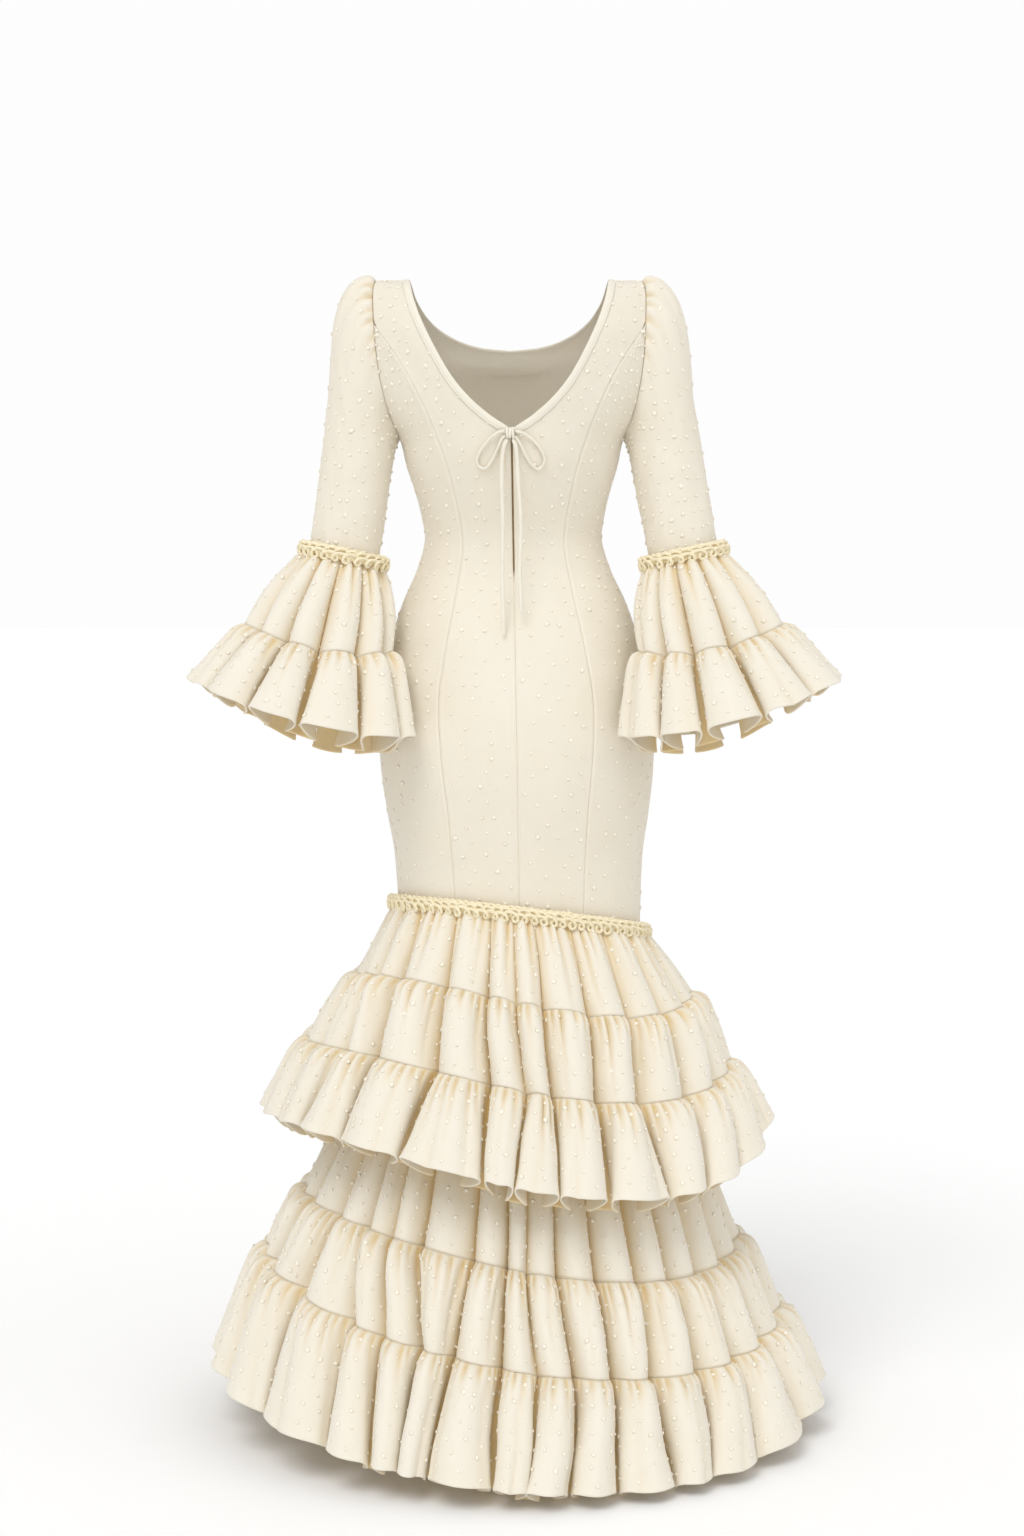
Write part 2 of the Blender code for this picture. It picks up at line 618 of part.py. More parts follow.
def tube_offsets(rows):
    """Half thicknesses square to a tube of closed rows."""
    offsets = []
    for i, row in enumerate(rows):
        above, below = rows[max(i - 1, 0)], rows[min(i + 1, len(rows) - 1)]
        centre = sum(row, Vector()) / len(row)
        line = []
        for j, point in enumerate(row):
            across = row[(j + 1) % len(row)] - row[j - 1]
            normal = across.cross(below[j] - above[j]).normalized()
            line.append(normal * math.copysign(CLOTH / 2, normal.dot(point - centre)))
        offsets.append(line)
    return offsets


def level_offsets(row):
    """Level half thicknesses, mitred so that a folded wall keeps its thickness through its valleys."""
    offsets = []
    for j, point in enumerate(row):
        before = (point - row[j - 1]).normalized()
        after = (row[(j + 1) % len(row)] - point).normalized()
        before_out = Vector((-before.y, before.x, 0))
        after_out = Vector((-after.y, after.x, 0))
        middle = (before_out + after_out).normalized()
        length = CLOTH / 2 / max(middle.dot(after_out.normalized()), MITRE_LIMIT)
        offsets.append(middle * length)
    centre = sum(row, Vector()) / len(row)
    outwards = sum(o.dot(p - centre) for o, p in zip(offsets, row))
    return [o * math.copysign(1.0, outwards) for o in offsets]


def fold_columns(valleys, depths, ring_fold):
    """(angle, depth, hem drop share) of each column of a folded ring."""
    columns = []
    count = len(valleys)
    for i in range(count):
        start, end = valleys[i], valleys[(i + 1) % count]
        if end > start:
            end -= 360
        for step in range(STEPS):
            p = step / STEPS
            crowd = p - FOLD_PINCH * math.sin(2 * math.pi * p) / (2 * math.pi)
            crest = math.sin(math.pi * p) ** FOLD_CROWN
            share = depths[i] * (1 - p) + depths[(i + 1) % count] * p
            columns.append((start + (end - start) * crowd, ring_fold * share * (1 - crest), 1 - crest))
    return columns


def skirt_row(ring, folds, column, drop=0.0, shift=0.0):
    """One row of a flounce on a ring. The column names which of the folds' angles it uses."""
    valleys = [getattr(fold, column) for fold in folds]
    depths = [fold.depth for fold in folds]
    row = []
    for angle, depth, hang in fold_columns(valleys, depths, ring.fold):
        row.append(ring_point(ring, angle, depth) + Vector((0, 0, shift - drop * hang)))
    return row


def halfway(first, second):
    """The ring between two others, its values halfway between theirs."""
    return Ring(*((a + b) / 2 for a, b in zip(first, second)))


def make_skirt():
    """The two groups of three gathered flounces."""
    gap = SEAM / 2
    groups = (
        ("upper", UPPER_FOLDS, (HIP_SEAM, UPPER_1, UPPER_2, UPPER_HEM)),
        ("lower", LOWER_FOLDS, (LOWER_TOP, LOWER_1, LOWER_2, LOWER_HEM)),
    )
    for group, folds, (top, first, second, hem) in groups:
        tiers = (
            [skirt_row(top, folds, "top", 0, -gap), skirt_row(first, folds, "top", 0, gap)],
            [skirt_row(first, folds, "top", 0, -gap), skirt_row(second, folds, "middle", 0, gap)],
            [
                skirt_row(second, folds, "middle", 0, -gap),
                skirt_row(halfway(second, hem), folds, "hem"),
                skirt_row(hem, folds, "hem", HEM_DROP),
            ],
        )
        for number, rows in enumerate(tiers, 1):
            offsets = [level_offsets(row) for row in rows]
            wall(f"{group}_flounce_{number}", rows, offsets, "crepe", closed=True)


def make_base_skirt():
    """The plain skirt under the upper flounces, which carries the lower ones."""
    angles = [360 * i / BASE_COLUMNS - 180 for i in range(BASE_COLUMNS)]
    top = []
    for angle in angles:
        point = ring_point(HIP_SEAM, angle)
        inwards = Vector((-math.sin(math.radians(angle)), -math.cos(math.radians(angle)), 0))
        top.append(point + inwards * BASE_INSET - Vector((0, 0, BASE_INSET)))
    lift = Vector((0, 0, SEAM))
    bottom = [ring_point(LOWER_TOP, angle) + lift for angle in angles]
    rows = [top, bottom]
    wall("base_skirt", rows, [level_offsets(row) for row in rows], "crepe", closed=True)


def off_the_hip(point):
    """Moves a point of a flounce softly out, so that it stays clear of the hip."""
    depth = between(BODY, point.z, "back" if point.y > 0 else "front")
    half = between(BODY, point.z, "half_width")
    level = Vector((point.x, point.y, 0))
    reach = math.hypot(level.x / half, level.y / depth)
    distance = level.length * (1 - 1 / reach)
    pushed = (distance + math.hypot(distance, 2 * HIP_CLEARANCE)) / 2
    slope = Vector((level.x / half**2, level.y / depth**2, 0)).normalized()
    return point + slope * (pushed - distance)


def cuff_row(side, ring, drop=0.0, shift=0.0):
    """One row of a sleeve flounce, drawn for the left arm."""
    row = []
    for angle, depth, hang in fold_columns(side.folds, (1.0,) * len(side.folds), ring.fold):
        out, back = math.sin(math.radians(angle)), math.cos(math.radians(angle))
        x = ring.out + (ring.half_width - depth) * out
        y = ring.back + (ring.half_depth - depth) * back
        z = ring.z + ring.rise * out - ring.droop * back * back - drop * hang + shift
        row.append(off_the_hip(Vector((x, y, z))))
    return row


def cuff_top_row(side, shift):
    """The row where the upper flounce is sewn to the sleeve's end."""
    centre = CUFF + Vector((0, 0, shift))
    columns = fold_columns(side.folds, (1.0,) * len(side.folds), 0.0)
    return [arm_ring(centre, CUFF_RADIUS, 90 - angle) for angle, _, _ in columns]


def make_cuff_flounces(side):
    gap = SEAM / 2
    pieces = {
        "sleeve_flounce_upper_": [cuff_top_row(side, -gap * 3), cuff_row(side, CUFF_SEAM, 0, gap)],
        "sleeve_flounce_lower_": [cuff_row(side, CUFF_SEAM, 0, -gap), cuff_row(side, CUFF_HEM, HEM_DROP)],
    }
    for name, rows in pieces.items():
        offsets = [level_offsets(row) for row in rows]
        wall(name + side.name, placed(rows, side), mirrored(offsets, side), "crepe", closed=True)


def ruffle_band(name, middles, normals, profile, up_axis=Vector((0, 0, 1))):
    """A closed band whose section is a list of (outwards, upwards) corners."""
    form = bmesh.new()
    rings = []
    for point, normal in zip(middles, normals):
        rings.append([form.verts.new(point + normal * out + up_axis * up) for out, up in profile])
    for i, ring in enumerate(rings):
        following = rings[(i + 1) % len(rings)]
        for j in range(len(profile)):
            k = (j + 1) % len(profile)
            form.faces.new((ring[j], ring[k], following[k], following[j]))
    bmesh.ops.recalc_face_normals(form, faces=form.faces)
    return add_mesh(name, form, "lace")


def make_trims():
    angles = [360 * i / HIP_TRIM_COLUMNS - 180 for i in range(HIP_TRIM_COLUMNS)]
    middles = [ring_point(HIP_SEAM, angle) for angle in angles]
    ruffle_band("hip_trim", middles, [o.normalized() for o in level_offsets(middles)], HIP_TRIM)
    angles = [360 * i / CUFF_TRIM_COLUMNS for i in range(CUFF_TRIM_COLUMNS)]
    for side in SIDES:
        row = placed([[arm_ring(CUFF, CUFF_RADIUS, angle) for angle in angles]], side)[0]
        outwards = [o.normalized() for o in level_offsets(row)]
        up_arm = mirrored([[(BICEP - CUFF).normalized()]], side)[0][0]
        ruffle_band("sleeve_trim_" + side.name, row, outwards, CUFF_TRIM, up_arm)


def cloth_y(x, z):
    """How far back the body's cloth is at a point of the back."""
    share = (x - LEAN * z) / between(BODY, z, "half_width")
    return between(BODY, z, "back") * math.sqrt(1 - share * share)


def curve_through(route, step):
    """Evenly stepped points on a smooth curve through a route's points."""
    route = [Vector(p) for p in route]
    ends = [route[0] * 2 - route[1]] + route + [route[-1] * 2 - route[-2]]
    points = []
    for a, b, c, d in zip(ends, ends[1:], ends[2:], ends[3:]):
        count = max(1, round((c - b).length / step))
        for i in range(count):
            t = i / count
            bend = (2 * a - 5 * b + 4 * c - d) * t * t + (3 * b - a - 3 * c + d) * t**3
            points.append(0.5 * (2 * b + (c - a) * t + bend))
    return points + [route[-1]]


def add_cord(name, points, diameter):
    curve = bpy.data.curves.new(name, "CURVE")
    curve.dimensions = "3D"
    curve.bevel_depth = diameter / 2
    curve.bevel_resolution = CORD_ROUNDNESS
    curve.use_fill_caps = True
    spline = curve.splines.new("POLY")
    spline.points.add(len(points) - 1)
    for spot, point in zip(spline.points, points):
        spot.co = (*point, 1.0)
    return add_object(bpy.data.objects.new(name, curve), "cord")


def make_tie():
    place = (KNOT.x, cloth_y(KNOT.x, KNOT.z) + KNOT.y, KNOT.z)
    bpy.ops.mesh.primitive_uv_sphere_add(segments=10, ring_count=6, location=place, scale=KNOT_RADIUS)
    knot = bpy.context.active_object
    for collection in knot.users_collection:
        collection.objects.unlink(knot)
    knot.name = knot.data.name = "bow_knot"
    knot.data.shade_smooth()
    add_object(knot, "cord")
    for loop in LOOPS:
        points = curve_through(loop.route, CORD_STEP)
        add_cord(loop.name, [Vector((p.x, cloth_y(p.x, p.z) + p.y, p.z)) for p in points], loop.diameter)
    for tie in TIES:
        add_cord(tie.name, curve_through(tie.route, CORD_STEP), tie.diameter)


def main():
    for item in list(bpy.data.objects):
        bpy.data.objects.remove(item)
    collection = bpy.data.collections.new(NAME)
    bpy.context.scene.collection.children.link(collection)
    collection.objects.link(bpy.data.objects.new(NAME + "_axis", None))
    make_back()
    make_front()
    make_zip()
    make_binding()
    make_base_skirt()
    make_skirt()
    for side in SIDES:
        make_sleeve(side)
        make_cuff_flounces(side)
    make_trims()
    make_tie()


main()
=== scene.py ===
"""Flamenco dress: ivory crepe with raised dots, a string tie, curled lace trims and gathered flounces.

Every length is in metres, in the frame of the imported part: +Z up, the front towards -Y, the wearer's
left towards +X. Angles round the body are in degrees: 0 is the centre back and 90 the wearer's left.
"""

import math
from collections import namedtuple

import bpy
import numpy as np
from bpy.props import FloatProperty, FloatVectorProperty, PointerProperty
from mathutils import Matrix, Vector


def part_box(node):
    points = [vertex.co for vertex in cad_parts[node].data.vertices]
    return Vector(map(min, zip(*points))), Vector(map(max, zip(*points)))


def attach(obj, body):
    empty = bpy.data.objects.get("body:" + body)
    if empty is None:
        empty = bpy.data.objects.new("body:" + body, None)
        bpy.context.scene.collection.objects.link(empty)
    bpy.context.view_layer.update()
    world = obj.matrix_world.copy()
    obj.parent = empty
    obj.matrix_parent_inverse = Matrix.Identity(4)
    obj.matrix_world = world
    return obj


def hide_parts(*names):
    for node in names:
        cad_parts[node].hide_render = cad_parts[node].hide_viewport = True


bl_info = {
    "name": "Flamenco dress",
    "version": (1, 0, 0),
    "blender": (4, 5, 0),
    "location": "View3D > Sidebar > Dress",
    "description": "Builds a long flamenco dress with gathered flounces, piece by piece",
    "category": "Object",
}

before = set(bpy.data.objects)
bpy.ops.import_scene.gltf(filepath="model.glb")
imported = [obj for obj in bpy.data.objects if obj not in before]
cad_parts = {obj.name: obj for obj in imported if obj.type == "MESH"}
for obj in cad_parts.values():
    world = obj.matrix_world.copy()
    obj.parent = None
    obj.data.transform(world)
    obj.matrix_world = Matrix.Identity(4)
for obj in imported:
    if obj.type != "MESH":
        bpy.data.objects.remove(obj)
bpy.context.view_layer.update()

# ---- sizes shared by the pieces ----
LEAN = 0.017  # sideways drift of the body's axis for each metre down
CLOTH_HALF = 0.0005  # half the thickness of the crepe
BINDING_HALF = 0.00035
HEM_HALF = 0.0013  # half the thickness of a rolled hem
SEAM = 0.0003
SHOULDER_ROLL = 0.090
ARMHOLE_BOTTOM = -0.207
NECK_BACK = -0.199
NECK_FRONT = -0.083
SLIT_BOTTOM = -0.385
SLIT_HALF_WIDTH = 0.0013
SLIT_CLOSE = 0.006  # height over which the slit closes into the seam
PRINCESS_TOP = -0.060
PRINCESS_TOP_FRONT = -0.090
SCOOP_BOTTOM = -0.120
HIP_LOW = -0.75  # where a panel's width is read when its lower end is looked for
STITCH_PITCH = 0.0034
STITCH_INSET = 0.0070  # from the neck's edge to the line of stitches
STITCH_START = 0.006  # clear way at the ends of that line
ZIP_HALF_WIDTH = 0.0030
ZIP_DEPTH = 0.0016  # how far the tape lies under the cloth
TOOTH_PITCH = 0.00105
HEAD_GATHER = 0.0195  # width of one gather in a sleeve's head
SLEEVE_COLUMNS = 180
LACE_STEPS = 14  # points on each curl of the lace
CAMERA_X = -0.004
FLOOR_GAP = 0.002
FLOOR_HALF_WIDTH = 40.0

# ---- the body: height, half width, depth at the back, depth at the front ----
BODY = np.array((
    (0.000, 0.200, 0.104, 0.100), (-0.050, 0.200, 0.106, 0.104), (-0.100, 0.196, 0.112, 0.116),
    (-0.140, 0.186, 0.115, 0.128), (-0.175, 0.168, 0.115, 0.137), (-0.207, 0.147, 0.113, 0.143),
    (-0.240, 0.139, 0.108, 0.146), (-0.280, 0.1265, 0.095, 0.135), (-0.310, 0.1195, 0.084, 0.122),
    (-0.339, 0.116, 0.077, 0.113), (-0.380, 0.128, 0.080, 0.113), (-0.420, 0.1465, 0.094, 0.116),
    (-0.480, 0.166, 0.118, 0.118), (-0.560, 0.1815, 0.134, 0.116), (-0.640, 0.1808, 0.136, 0.112),
    (-0.700, 0.1735, 0.129, 0.108), (-0.760, 0.1645, 0.120, 0.104), (-0.900, 0.158, 0.110, 0.098),
))
HALF_WIDTH, BACK, FRONT = 1, 2, 3

# ---- edges and seams: height, distance from the centre line ----
NECKLINE_BACK = np.array((
    (0.000, 0.131), (-0.030, 0.1235), (-0.058, 0.1135), (-0.096, 0.0955), (-0.131, 0.0755),
    (-0.158, 0.0535), (-0.181, 0.0276), (-0.194, 0.0080), (NECK_BACK, 0.0013),
))
NECKLINE_FRONT = np.array((
    (0.000, 0.131), (-0.025, 0.122), (-0.050, 0.103), (-0.068, 0.075), (-0.079, 0.040),
    (NECK_FRONT, 0.0),
))
ARMHOLE = np.array((
    (0.000, 0.175), (-0.016, 0.178), (-0.052, 0.177), (-0.097, 0.174), (-0.134, 0.169),
    (-0.175, 0.159), (-0.196, 0.150), (ARMHOLE_BOTTOM, 0.147),
))
PRINCESS_BACK = np.array((
    (PRINCESS_TOP, 0.1768), (-0.110, 0.143), (-0.155, 0.119), (-0.212, 0.095), (-0.270, 0.078),
    (-0.340, 0.0665), (-0.400, 0.0745), (-0.478, 0.090), (-0.546, 0.100), (-0.620, 0.098),
    (-0.714, 0.089), (-0.900, 0.080),
))
PRINCESS_FRONT = np.array((
    (PRINCESS_TOP_FRONT, 0.1745), (-0.150, 0.126), (-0.240, 0.091), (-0.340, 0.062),
    (-0.440, 0.079), (-0.560, 0.096), (-0.714, 0.089), (-0.900, 0.080),
))

# ---- rings of the skirt ----
Ring = namedtuple("Ring", "half_width half_depth centre mean tilt pitch sag skew fold")
HIP_SEAM = Ring(0.160, 0.112, -0.0145, -0.843, 0.020, 0.019, 0.0, 0.0, 0.0)
UPPER_1 = Ring(0.226, 0.198, -0.021, -0.930, 0.009, 0.008, -0.002, 0.018, 0.030)
UPPER_2 = Ring(0.285, 0.255, -0.013, -1.018, 0.009, 0.004, -0.010, 0.023, 0.043)
UPPER_HEM = Ring(0.345, 0.318, -0.010, -1.098, -0.003, 0.0, -0.036, 0.036, 0.058)
LOWER_TOP = Ring(0.213, 0.190, -0.016, -1.090, 0.010, 0.0, 0.0, 0.0, 0.006)
LOWER_1 = Ring(0.293, 0.272, -0.017, -1.238, 0.029, 0.0, -0.012, 0.013, 0.037)
LOWER_2 = Ring(0.348, 0.328, -0.019, -1.322, 0.041, 0.0, -0.040, 0.006, 0.051)
LOWER_HEM = Ring(0.416, 0.392, -0.013, -1.442, 0.018, 0.0, -0.050, 0.008, 0.068)
RING_REACH = 0.12
PANEL_TONE = 0.05  # how far smooth panels take, evenly all over, the colour that is painted as shade into the folds
PAINTED_FOLD_GLOW = (0.125, 0.096, 0.046)  # painted glow in the folds, standing in for light that comes through the thin cloth into them
HEM_DROP = 0.017  # how much lower a hem hangs in its valleys than on its crests
UPPER_HEM_DROP = 0.024
SLEEVE_HEM_DROP = 0.021
SEAM_DROOP = 0.012  # the same at the seams between flounces
BASE_INSET = 0.0045

# ---- folds of the skirt: a valley's angle at a group's top, middle and hem, and its share of the depth ----
UPPER_FOLDS = np.array((
    (74, 70, 68, 0.8), (61, 54, 57, 0.9), (49, 44, 43, 1.0), (29, 24, 27, 1.0), (13, 8, 7, 0.9),
    (3, -2, 1, 0.45), (-6, -9, -9, 0.8), (-23, -22, -20, 1.0), (-39, -35, -36, 1.0),
    (-56, -53, -47, 0.9), (-73, -68, -60, 0.9), (-87, -83, -77, 0.9), (-101, -97, -94, 0.9),
    (-115, -112, -110, 1.0), (-129, -127, -125, 0.9), (-143, -141, -142, 1.0),
    (-156, -157, -156, 0.8), (-170, -171, -172, 0.9), (-185, -186, -187, 1.0),
    (-200, -200, -201, 0.9), (-213, -214, -216, 0.8), (-227, -229, -230, 1.0),
    (-242, -243, -244, 0.9), (-257, -260, -263, 1.0), (-272, -275, -277, 0.8),
))
LOWER_FOLDS = np.array((
    (75, 77, 71, 0.9), (57, 60, 55, 0.9), (44, 40, 37, 1.0), (36, 32, 27, 0.5), (28, 23, 21.5, 1.0),
    (13, 16, 17, 0.9), (4, 5, 5, 0.9), (-1, -3, -1, 0.5), (-9, -11, -9, 0.9), (-20, -20, -18, 1.0),
    (-32, -29, -29, 0.9), (-42, -42, -37, 0.9), (-53, -54, -49, 0.9), (-66, -67, -68, 1.0),
    (-81, -81, -83, 0.9), (-95, -96, -96, 0.8), (-108, -109, -108, 1.0), (-121, -121, -122, 0.9),
    (-134, -135, -134, 0.9), (-147, -146, -147, 1.0), (-159, -160, -161, 0.8),
    (-171, -171, -172, 0.9), (-183, -184, -183, 1.0), (-195, -195, -196, 0.9),
    (-208, -207, -208, 0.9), (-221, -222, -222, 1.0), (-234, -234, -233, 0.8),
    (-247, -248, -249, 0.9), (-261, -262, -262, 1.0), (-275, -277, -277, 0.9),
))
TOP, MIDDLE, HEM, SHARE = 0, 1, 2, 3
FOLD_CROWN = 0.82  # below 1, the crests are flatter and the valleys narrower
FOLD_PINCH = 0.85  # how far the cloth of a fold crowds towards its valleys
HEM_PINCH = 1.15
HEM_CURL = 0.37  # how far the sides of a fold turn in behind its crest at a hem

# ---- sleeves, drawn for a left arm beside an upright body, then mirrored and leaned ----
BICEP = np.array((0.1965, 0.008, -0.186))
BICEP_RADIUS = np.array((0.0422, 0.050, 0.036))
CUFF = np.array((0.2235, 0.030, -0.362))
CUFF_RADIUS = np.array((0.0445, 0.045, 0.0098))
ARMHOLE_GAP = 0.0003
UNDERARM_LIFT = 0.0012
HIP_CLEARANCE = 0.020
CuffRing = namedtuple("CuffRing", "half_width half_depth out back z rise droop lift fold")
CUFF_SEAM = CuffRing(0.100, 0.082, 0.250, 0.072, -0.464, 0.0185, 0.022, 0.010, 0.027)
CUFF_HEM = CuffRing(0.150, 0.116, 0.273, 0.108, -0.553, 0.0380, 0.035, 0.023, 0.044)
Side = namedtuple("Side", "name sign folds")
SIDES = (
    Side("left", 1, (57, 28, 0, -35, -66, -98, -131, -165, -199, -234, -269)),
    Side("right", -1, (46, 16, -17, -43, -72, -103, -135, -168, -201, -236, -274)),
)

# ---- the string tie: a route's points are (x, distance off the cloth, z), or plain points for the ends ----
KNOT = (-0.0014, 0.0078, -0.2038)
LOOPS = {
    "bow_loop_left": (
        (0.0046, 0.0078, -0.2008), (0.016, 0.0062, -0.2045), (0.030, 0.0048, -0.2170),
        (0.0400, 0.0040, -0.2335), (0.0395, 0.0040, -0.2440), (0.0310, 0.0040, -0.2485),
        (0.0225, 0.0042, -0.2400), (0.0145, 0.0050, -0.2240), (0.0095, 0.0066, -0.2125),
        (0.0046, 0.0078, -0.2072),
    ),
    "bow_loop_right": (
        (-0.0074, 0.0078, -0.2012), (-0.0190, 0.0062, -0.2045), (-0.0310, 0.0050, -0.2130),
        (-0.0425, 0.0042, -0.2275), (-0.0455, 0.0040, -0.2400), (-0.0380, 0.0040, -0.2490),
        (-0.0290, 0.0042, -0.2435), (-0.0205, 0.0050, -0.2300), (-0.0135, 0.0064, -0.2165),
        (-0.0074, 0.0078, -0.2076),
    ),
}
TIE_Y = 0.1185
TIES = {
    "tie_end_left": (
        (0.0015, 0.1215, -0.2116), (0.0060, 0.1210, -0.2200), (0.0086, TIE_Y, -0.2420),
        (0.0086, TIE_Y, -0.3000), (0.0080, TIE_Y, -0.3800), (0.0069, TIE_Y, -0.4605),
    ),
    "tie_end_right": (
        (-0.0045, 0.1215, -0.2116), (-0.0088, 0.1210, -0.2210), (-0.0112, TIE_Y, -0.2450),
        (-0.0148, TIE_Y, -0.3300), (-0.0143, TIE_Y, -0.3890), (-0.0163, TIE_Y, -0.4343),
    ),
}


# ======================================================================================= settings


def metres(name, description, default):
    return FloatProperty(name=name, description=description, default=default, unit="LENGTH")


def tint(name, description, default):
    return FloatVectorProperty(name=name, description=description, subtype="COLOR", size=3, default=default,
                               min=0.0, max=1.0)


class DressSizes(bpy.types.PropertyGroup):
    """Sizes of the cloth's detail."""

    dot_radius: metres("Dot radius", "Mean radius of a raised dot", 0.0029)
    dot_height: metres("Dot height", "Mean height of a raised dot", 0.0018)
    dot_row: metres("Dot row spacing", "Distance between rows of dots", 0.0185)
    dot_step: metres("Dot spacing", "Distance between dots in a row", 0.0250)
    gather_pitch: metres("Gather pitch", "Width of one gather at a flounce's top", 0.0130)
    gather_depth: metres("Gather depth", "Depth of the gathers under a seam", 0.0140)
    pleat_depth: metres("Pleat depth", "Depth of the soft pleats between the folds", 0.0075)
    puff: metres("Puff", "How far a flounce stands out under its seam", 0.0150)
    lace_pitch: metres("Lace pitch", "Width of one curl of the lace trims", 0.0138)
    tie_width: metres("Tie width", "Width of the hanging tie ends", 0.0052)


class DressColours(bpy.types.PropertyGroup):
    """Colours of the cloth and trimmings."""

    crepe: tint("Crepe", "Ivory crepe of every panel and flounce", (0.866, 0.824, 0.730))
    crepe_shade: tint("Crepe shade", "Warmer tone that the crepe drifts towards", (0.815, 0.740, 0.590))
    # painted shade: the warm dark colour painted into folds, gathers, pleats and seams in place of their
    # shadow
    crepe_painted_shade: tint("Crepe in folds", "Warm tone of the crepe deep in its folds", (0.600, 0.432, 0.185))
    dot: tint("Dots", "Thread of the raised dots", (0.94, 0.895, 0.78))
    lace: tint("Lace", "Curled lace trims", (0.97, 0.875, 0.64))
    cord: tint("Tie and binding", "Plain cloth of the tie and of the neck binding", (0.88, 0.825, 0.69))
    zip_tape: tint("Zip tape", "Dark tape in the back opening", (0.045, 0.026, 0.012))
    zip_coil: tint("Zip coil", "Coil on the tape", (0.42, 0.27, 0.11))
    floor: tint("Floor", "Pale studio floor", (0.98, 0.98, 0.98))


class StudioSettings(bpy.types.PropertyGroup):
    """Camera and lights."""

    distance: metres("Camera distance", "How far behind the dress the camera stands", 3.4)
    height: metres("Camera height", "Height of the camera against the shoulder seams", -0.364)
    lens: FloatProperty(name="Lens", description="Focal length in millimetres", default=59.9)
    tilt: FloatProperty(
        name="Camera tilt", description="How far the camera looks down", default=math.radians(4.674),
        subtype="ANGLE")
    key: FloatProperty(name="Key light", description="Strength of the key light", default=1.22)
    fill: FloatProperty(name="Fill light", description="Light from the other side", default=0.30)
    surround: FloatProperty(name="Surround", description="Light from the white surround", default=0.665)
    backdrop: FloatProperty(name="Backdrop", description="Brightness of the surround as seen", default=0.985)


# ======================================================================================= shaders


class Socket:
    """A shader socket that can stand in a sum."""

    def __init__(self, look, socket):
        self.look = look
        self.socket = socket

    def maths(self, operation, first, second=0.0):
        return self.look.node("ShaderNodeMath", {"operation": operation}, {0: first, 1: second})

    def __add__(self, other):
        return self.maths("ADD", self, other)

    __radd__ = __add__

    def __mul__(self, other):
        return self.maths("MULTIPLY", self, other)

    __rmul__ = __mul__

    def __sub__(self, other):
        return self.maths("SUBTRACT", self, other)

    def sine(self):
        return self.maths("SINE", self)


class Look:
    """One material and its nodes."""

    def __init__(self, name, **constants):
        self.material = bpy.data.materials.new(name)
        self.material.use_nodes = True
        self.tree = self.material.node_tree
        self.shader = self.tree.nodes["Principled BSDF"]
        for label, value in constants.items():
            self.shader.inputs[label.replace("_", " ")].default_value = value

    def node(self, kind, settings, values, output=0):
        """A node of a type, with its settings set first, then the values or links of its sockets."""
        made = self.tree.nodes.new(kind)
        for key, value in settings.items():
            setattr(made, key, value)
        for key, value in values.items():
            if isinstance(value, Socket):
                self.tree.links.new(value.socket, made.inputs[key])
            else:
                made.inputs[key].default_value = value
        return Socket(self, made.outputs[output])

    def mix(self, factor, first, second):
        """A colour between two others."""
        return self.node("ShaderNodeMix", {"data_type": "RGBA"}, {0: factor, 6: first, 7: second}, output=2)

    def noise(self, where, scale, detail=2.0):
        return self.node("ShaderNodeTexNoise", {}, {"Vector": where, "Scale": scale, "Detail": detail})

    def stretched(self, where, scale):
        return self.node("ShaderNodeVectorMath", {"operation": "MULTIPLY"}, {0: where, 1: scale})

    def bump(self, height, distance, strength=1.0, under=None):
        values = {"Height": height, "Distance": distance, "Strength": strength}
        if under is not None:
            values["Normal"] = under
        return self.node("ShaderNodeBump", {}, values)

    def cloth(self):
        """Places on the cloth in metres, then how far across it and how far down it."""
        uv = self.node("ShaderNodeUVMap", {"uv_map": "cloth"}, {})
        return uv, *(self.node("ShaderNodeSeparateXYZ", {}, {0: uv}, output=k) for k in (0, 1))

    def place(self):
        return self.node("ShaderNodeTexCoord", {}, {}, output=3)

    def painted_shade(self):
        """How much painted shade a point takes, from 0 to 1: in folds, gathers and pleats, at the feet of
        dots and deep in the lace.
        """
        return self.node("ShaderNodeAttribute", {"attribute_name": "painted_shade"}, {}, output=2)

    def feed(self, label, socket):
        self.tree.links.new(socket.socket, self.shader.inputs[label])


def rgba(colour, *shares):
    """A colour with its alpha, times one share or a share for each channel."""
    shares = shares if len(shares) == 3 else (shares or (1.0,)) * 3
    return (*(min(1.0, channel * share) for channel, share in zip(colour, shares)), 1.0)


